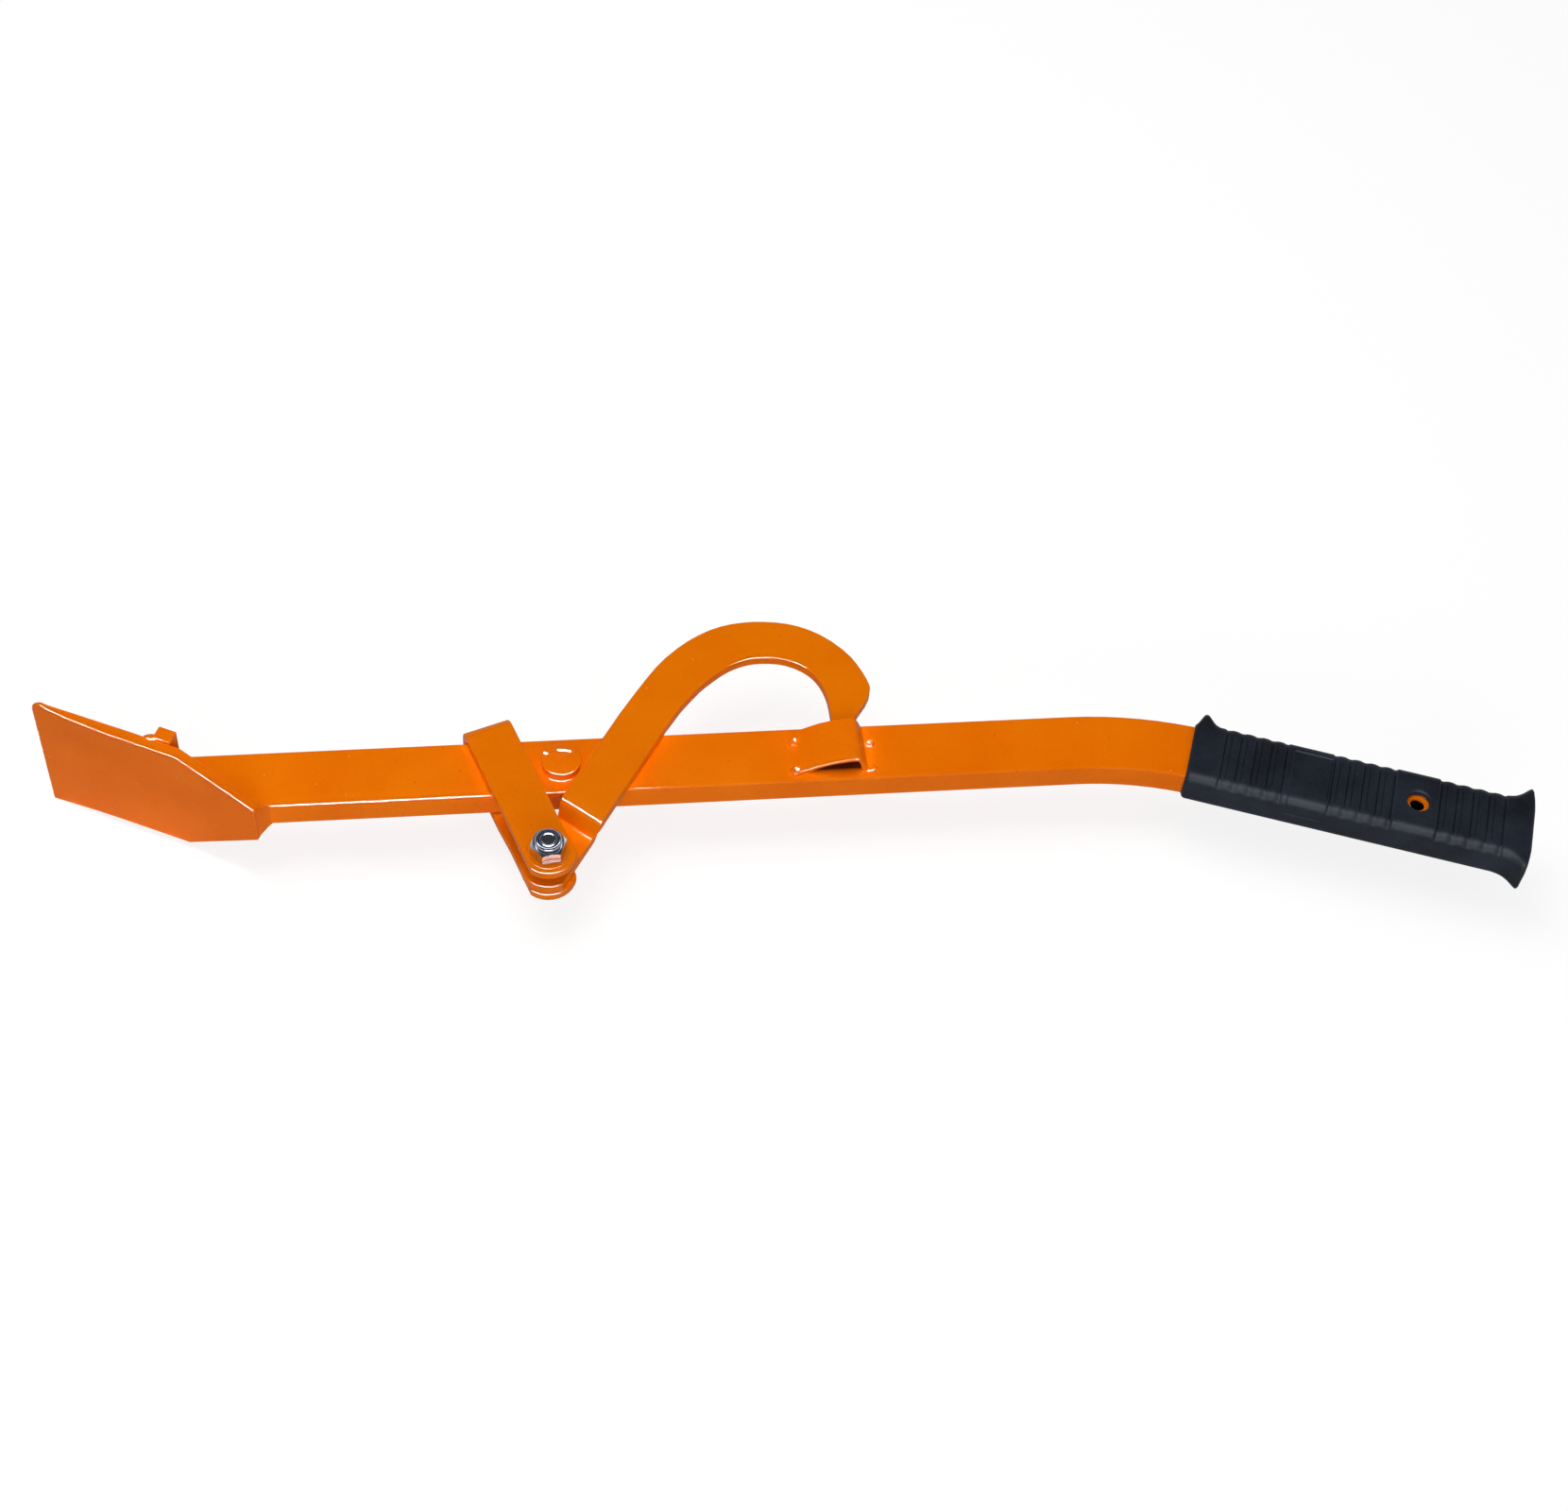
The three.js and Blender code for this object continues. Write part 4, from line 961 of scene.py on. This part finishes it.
def root_fillet():
    """The hollow fillet weld between the blade's root end and the tube's near side."""
    side = -TUBE_WIDTH / 2
    on_root, on_tube = FILLET_ENDS
    rings = []
    for row in range(FILLET_ROWS + 1):
        share = 2 * row / FILLET_ROWS - 1
        root_height = share * (BLADE_ROOT_HEIGHT / 2 - on_root)
        side_height = BLADE_ROOT.z + share * (TUBE_DEPTH / 2 - on_tube)
        start = Vector(on_blade(BLADE_LENGTH - IN_BLADE, root_height, FILLET_FRONT))
        corner = Vector(on_blade(BLADE_LENGTH - IN_BLADE, root_height, BLADE_THICKNESS))
        corner.y = min(corner.y, side + CORNER_IN_TUBE)
        middle_height = (corner.z + side_height) / 2
        finish = Vector((corner.x + FILLET_LEG, side + FINISH_IN_TUBE, side_height))
        heel = Vector((corner.x - HEEL_BACK, side + HEEL_IN_TUBE, middle_height))
        pull = Vector((corner.x, corner.y, middle_height))
        ripple = FILLET_RIPPLE * math.sin(share * FILLET_TURNS)
        ring = []
        for step in range(FILLET_STEPS + 1):
            t = step / FILLET_STEPS
            curve = start * (1 - t) ** 2 + pull * 2 * t * (1 - t) + finish * t * t
            arch = math.sin(math.pi * t)
            ring.append(tuple(curve + FILLET_OUTWARD * (FILLET_SWELL + ripple * arch) * arch))
        ring.append(tuple(heel))
        rings.append(ring)
    fillet = add_piece("blade_root_fillet", *skin(rings), BLADE_COAT, "lever", "orange_powder_coat")
    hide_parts("blade_root_weld")


root_fillet()

# The stop button: a pressed head with a low dome under thick paint, and a roll of paint at its foot

button_corners = lever_box("stop_button")
BUTTON_RADIUS = (button_corners[1].x - button_corners[0].x) / 2
RIM_DROP = 0.6  # the dome starts this far below the CAD's top
BUTTON_RIM = button_corners[1].z - RIM_DROP
BUTTON_RISE = 1.5
BUTTON_EDGE = 0.9
RIM_INSET = 0.15
FOOT_ROLL = 0.9
FOOT_LIFT = 0.2
FOOT_SINK = 0.05
NECK_HEIGHT = 1.2
NECK_LEAN = 0.1
ROLL_STEPS = 6
DOME_STEPS = 14
BUTTON_STEPS = 72


def stop_button():
    """The button's head, from its foot up: the roll of paint, the neck, the rounded rim, the dome."""
    neck = BUTTON_RADIUS - FOOT_ROLL
    rim = BUTTON_RADIUS - RIM_INSET
    shoulder = BUTTON_RIM - BUTTON_EDGE
    profile = [(BUTTON_RADIUS + FOOT_SINK, TUBE_DEPTH - FOOT_SINK)]
    for step in range(ROLL_STEPS + 1):
        angle = math.pi / 2 * step / ROLL_STEPS
        profile.append((
            BUTTON_RADIUS - FOOT_ROLL * math.sin(angle),
            TUBE_DEPTH + FOOT_LIFT + FOOT_ROLL * (1 - math.cos(angle)),
        ))
    profile.append((neck + NECK_LEAN, shoulder - NECK_HEIGHT))
    profile.append((rim, shoulder))
    for step in range(1, ROLL_STEPS):
        angle = math.pi / 2 * step / ROLL_STEPS
        profile.append((
            rim - BUTTON_EDGE * (1 - math.cos(angle)),
            BUTTON_RIM - BUTTON_EDGE * (1 - math.sin(angle)),
        ))
    for step in range(DOME_STEPS):
        share = 1 - step / DOME_STEPS
        radius = (rim - BUTTON_EDGE) * share
        profile.append((radius, BUTTON_RIM + BUTTON_RISE * (1 - share * share)))
    rings = turned(profile, (0, 0), BUTTON_STEPS)
    head = add_piece("button_head", *skin(rings), FITTING_COAT, "lever", "orange_powder_coat")
    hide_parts("stop_button")
    return head


button_head = stop_button()

# On the bolt's axis: the ring that the nut's washer face pressed into the paint of the strap, and
# the bolt's end, chamfered and dished by the shears

nut_low, nut_high = lever_box("pivot_nut")
pivot = ((nut_low.x + nut_high.x) / 2, (nut_low.y + nut_high.y) / 2)
strap_top = lever_box("stirrup")[1].z
bolt_top = lever_box("pivot_bolt")[1].z
PAINT_RING_RADIUS = 11.4
# How far outside that radius, and how high over the strap
PAINT_RING = ((-0.7, -0.1), (-0.35, 0.12), (0, 0.2), (0.35, 0.12), (0.7, -0.1))
PAINT_RING_STEPS = 72
# Radius, and height over the top of the CAD's bolt
BOLT_END = (
    (4.9, -0.4), (4.9, 0.02), (4.1, 0.5), (3.85, 0.5), (3.6, 0.28), (3.0, 0.1), (2.0, 0.16),
    (1.0, 0.3), (0.2, 0.34),
)
BOLT_STEPS = 48


def paint_ring():
    """A low closed roll of paint round the nut."""
    profile = [(PAINT_RING_RADIUS + out, strap_top + up) for out, up in PAINT_RING]
    rings = turned(profile, pivot, PAINT_RING_STEPS)
    add_piece("strap_paint_ring", *skin(rings, looped=True), HOOK_COAT, "stirrup", "orange_powder_coat")


def bolt_end():
    """The last half millimetre of the bolt, over the nut."""
    profile = [(radius, bolt_top + up) for radius, up in BOLT_END]
    rings = turned(profile, pivot, BOLT_STEPS)
    add_piece("bolt_end", *skin(rings), ZINC, "stirrup", "zinc_plated_steel")


paint_ring()
bolt_end()


# Camera, light and floor

CAMERA_PLACE = (-52.4, -850.9, 1174.5)
CAMERA_TURN = (36.668, -3.944, -6.218)  # degrees about X, Y and Z
SENSOR = 36
FOCAL_PIXELS = 2827  # the lens's focal length, in pixels of the photograph
PHOTO_WIDTH = 1660


def add_camera():
    """The photograph's own view of the lever."""
    data = bpy.data.cameras.new("camera")
    data.sensor_width = SENSOR
    data.lens = FOCAL_PIXELS * SENSOR / PHOTO_WIDTH
    camera = bpy.data.objects.new("camera", data)
    bpy.context.scene.collection.objects.link(camera)
    camera.location = place(*CAMERA_PLACE)
    camera.rotation_euler = Euler([math.radians(turn) for turn in CAMERA_TURN])
    bpy.context.scene.camera = camera


add_camera()


def add_lamp(name, spot, aim, size, watts):
    """A softbox of a width and a depth in millimetres, turned from its spot towards its aim."""
    data = bpy.data.lights.new(name, "AREA")
    data.shape = "RECTANGLE"
    data.size = size[0] * MM
    data.size_y = size[1] * MM
    data.energy = watts
    lamp = bpy.data.objects.new(name, data)
    bpy.context.scene.collection.objects.link(lamp)
    lamp.location = place(*spot)
    direction = place(*aim) - lamp.location
    lamp.rotation_euler = direction.to_track_quat("-Z", "Y").to_euler()
    return lamp


softbox = add_lamp("softbox_above", (-150, 350, 1400), (20, 0, 0), (1200, 900), 12)
softbox.visible_glossy = False
add_lamp("fill_in_front", (-50, -1250, 500), (-50, 0, 20), (1200, 500), 7.5)

# Lamps that only show in the gloss. The paint is clear and bright along its edges, the rest is duller,
# and each strip is as long or as wide as its light on that piece is in the photograph. No strip for
# paint hangs straight above, where the flat tops would mirror it to a viewer overhead.
GLOSS_GROUPS = ("tube", "hook", "nut", "button", "painted", "unpainted")
OWN_STRIP = {"lever_bar": "tube", "turning_hook": "hook", "pivot_nut": "nut"}
# Name, spot, width and depth, watts, and the group of pieces that it shows in
GLOSS_LAMPS = (
    ("strip_for_tube", (-390, -595, 1200), (960, 790), 640, "tube"),
    ("strip_for_hook", (-50, -680, 1200), (2300, 960), 1500, "hook"),
    ("strip_for_nut", (-50, 410, 1200), (1600, 350), 4, "nut"),
    ("strip_for_paint", (-50, -595, 1200), (2300, 790), 1650, "painted"),
    ("strip_for_rest", (-50, -540, 1200), (2300, 900), 26, "unpainted"),
    ("strip_behind", (170, 1110, 870), (440, 85), 46, "button"),
    ("spot_behind", (-390, 1010, 830), (70, 70), 9, "button"),
    ("spot_overhead", (-20, 880, 1120), (45, 45), 5, "button"),
)


def light_the_gloss():
    """Sorts the pieces into groups and hangs each group's lamps, all aimed at the button.

    The button is in two groups: it shows the strip for paint and its own small lamps.
    """
    receivers = {group: bpy.data.collections.new(group + "_in_gloss") for group in GLOSS_GROUPS}
    pieces = [thing for thing in bpy.context.scene.objects if thing.type == "MESH"]
    for piece in pieces:
        finishes = {slot.material for slot in piece.material_slots}
        group = "unpainted" if finishes & {ZINC, NYLON, RUBBER} else "painted"
        group = OWN_STRIP.get(piece.name, group)
        receivers[group].objects.link(piece)
    receivers["button"].objects.link(button_head)
    for name, spot, size, watts, group in GLOSS_LAMPS:
        lamp = add_lamp(name, spot, (0, 0, 0), size, watts)
        lamp.visible_diffuse = False
        lamp.light_linking.receiver_collection = receivers[group]


light_the_gloss()

# The room: how bright it is in the gloss overhead, and how it lights the object from low and high up
CEILING_IN_GLOSS = 0.05
LOW_LIGHT = 0.13
HIGH_LIGHT = 0.4


def white_room():
    """White to the camera; in the gloss it is white near the floor and dim overhead."""
    world = bpy.data.worlds.new("studio")
    bpy.context.scene.world = world
    world.use_nodes = True
    tree = world.node_tree
    tree.nodes.clear()
    rays = add(tree, "ShaderNodeLightPath").outputs
    looking = add(tree, "ShaderNodeTexCoord").outputs["Generated"]
    direction = add(tree, "ShaderNodeSeparateXYZ", {0: looking})
    ceiling = add(tree, "ShaderNodeMapRange", {
        "Value": direction.outputs["Z"],
        "From Min": 0.05,
        "From Max": 0.5,
        "To Min": 1.0,
        "To Max": CEILING_IN_GLOSS,
    })
    daylight = add(tree, "ShaderNodeMapRange", {
        "Value": direction.outputs["Z"],
        "From Min": 0.0,
        "From Max": 0.6,
        "To Min": LOW_LIGHT,
        "To Max": HIGH_LIGHT,
    })
    in_gloss = add(tree, "ShaderNodeMath", {0: rays["Is Glossy Ray"], 1: rays["Is Transmission Ray"]},
                   operation="MAXIMUM")
    room = add(tree, "ShaderNodeMix", {
        FACTOR: in_gloss.outputs[0],
        NUMBER_A: daylight.outputs[0],
        NUMBER_B: ceiling.outputs[0],
    })
    seen = add(tree, "ShaderNodeMix", {
        FACTOR: rays["Is Camera Ray"],
        NUMBER_A: room.outputs[0],
        NUMBER_B: 1.0,
    })
    backdrop = add(tree, "ShaderNodeBackground", {
        "Color": linear("#FFFFFF"),
        "Strength": seen.outputs[0],
    })
    add(tree, "ShaderNodeOutputWorld", {"Surface": backdrop.outputs[0]})


white_room()

FLOOR_REACH = 6000
PAPER_GLOW = 0.74  # how much of the paper's white is its own to the camera; the rest takes the shadow
PAPER_IN_VIEW = 1.09
PAPER_IN_GLOSS = 0.25


def white_paper():
    """A roll of uncoated studio paper: matt white, overexposed to the camera but for a faint shadow."""
    material, tree = new_material("white_paper")
    rays = add(tree, "ShaderNodeLightPath").outputs
    in_gloss = add(tree, "ShaderNodeMath", {0: rays["Is Glossy Ray"], 1: rays["Is Transmission Ray"]},
                   operation="MAXIMUM")
    shown = add(tree, "ShaderNodeMath", {0: rays["Is Camera Ray"], 1: in_gloss.outputs[0]},
                operation="MAXIMUM")
    glow = add(tree, "ShaderNodeMath", {0: shown.outputs[0], 1: PAPER_GLOW}, operation="MULTIPLY")
    # To the object the paper is a little darker than to the camera
    pale = add(tree, "ShaderNodeMix", {
        FACTOR: rays["Is Camera Ray"],
        COLOUR_A: linear("#DCDCDC"),
        COLOUR_B: linear("#F4F4F4"),
    }, data_type="RGBA")
    matt = add(tree, "ShaderNodeBsdfDiffuse", {"Color": pale.outputs[MIXED_COLOUR]})
    strength = add(tree, "ShaderNodeMapRange", {
        "Value": rays["Is Camera Ray"],
        "To Min": PAPER_IN_GLOSS,
        "To Max": PAPER_IN_VIEW,
    })
    light = add(tree, "ShaderNodeEmission", {
        "Color": linear("#FFFFFF"),
        "Strength": strength.outputs[0],
    })
    both = add(tree, "ShaderNodeMixShader", {
        0: glow.outputs[0],
        1: matt.outputs[0],
        2: light.outputs[0],
    })
    add(tree, "ShaderNodeOutputMaterial", {"Surface": both.outputs[0]})
    return material


def lay_floor():
    """A wide sheet of paper under the lever."""
    reach = FLOOR_REACH * MM
    corners = [Vector((x * reach, y * reach, 0)) for x, y in ((-1, -1), (1, -1), (1, 1), (-1, 1))]
    mesh = bpy.data.meshes.new("floor")
    mesh.from_pydata(corners, [], [(0, 1, 2, 3)])
    mesh.materials.append(white_paper())
    floor = bpy.data.objects.new("floor", mesh)
    bpy.context.scene.collection.objects.link(floor)


lay_floor()

bpy.context.scene.view_settings.view_transform = "Standard"
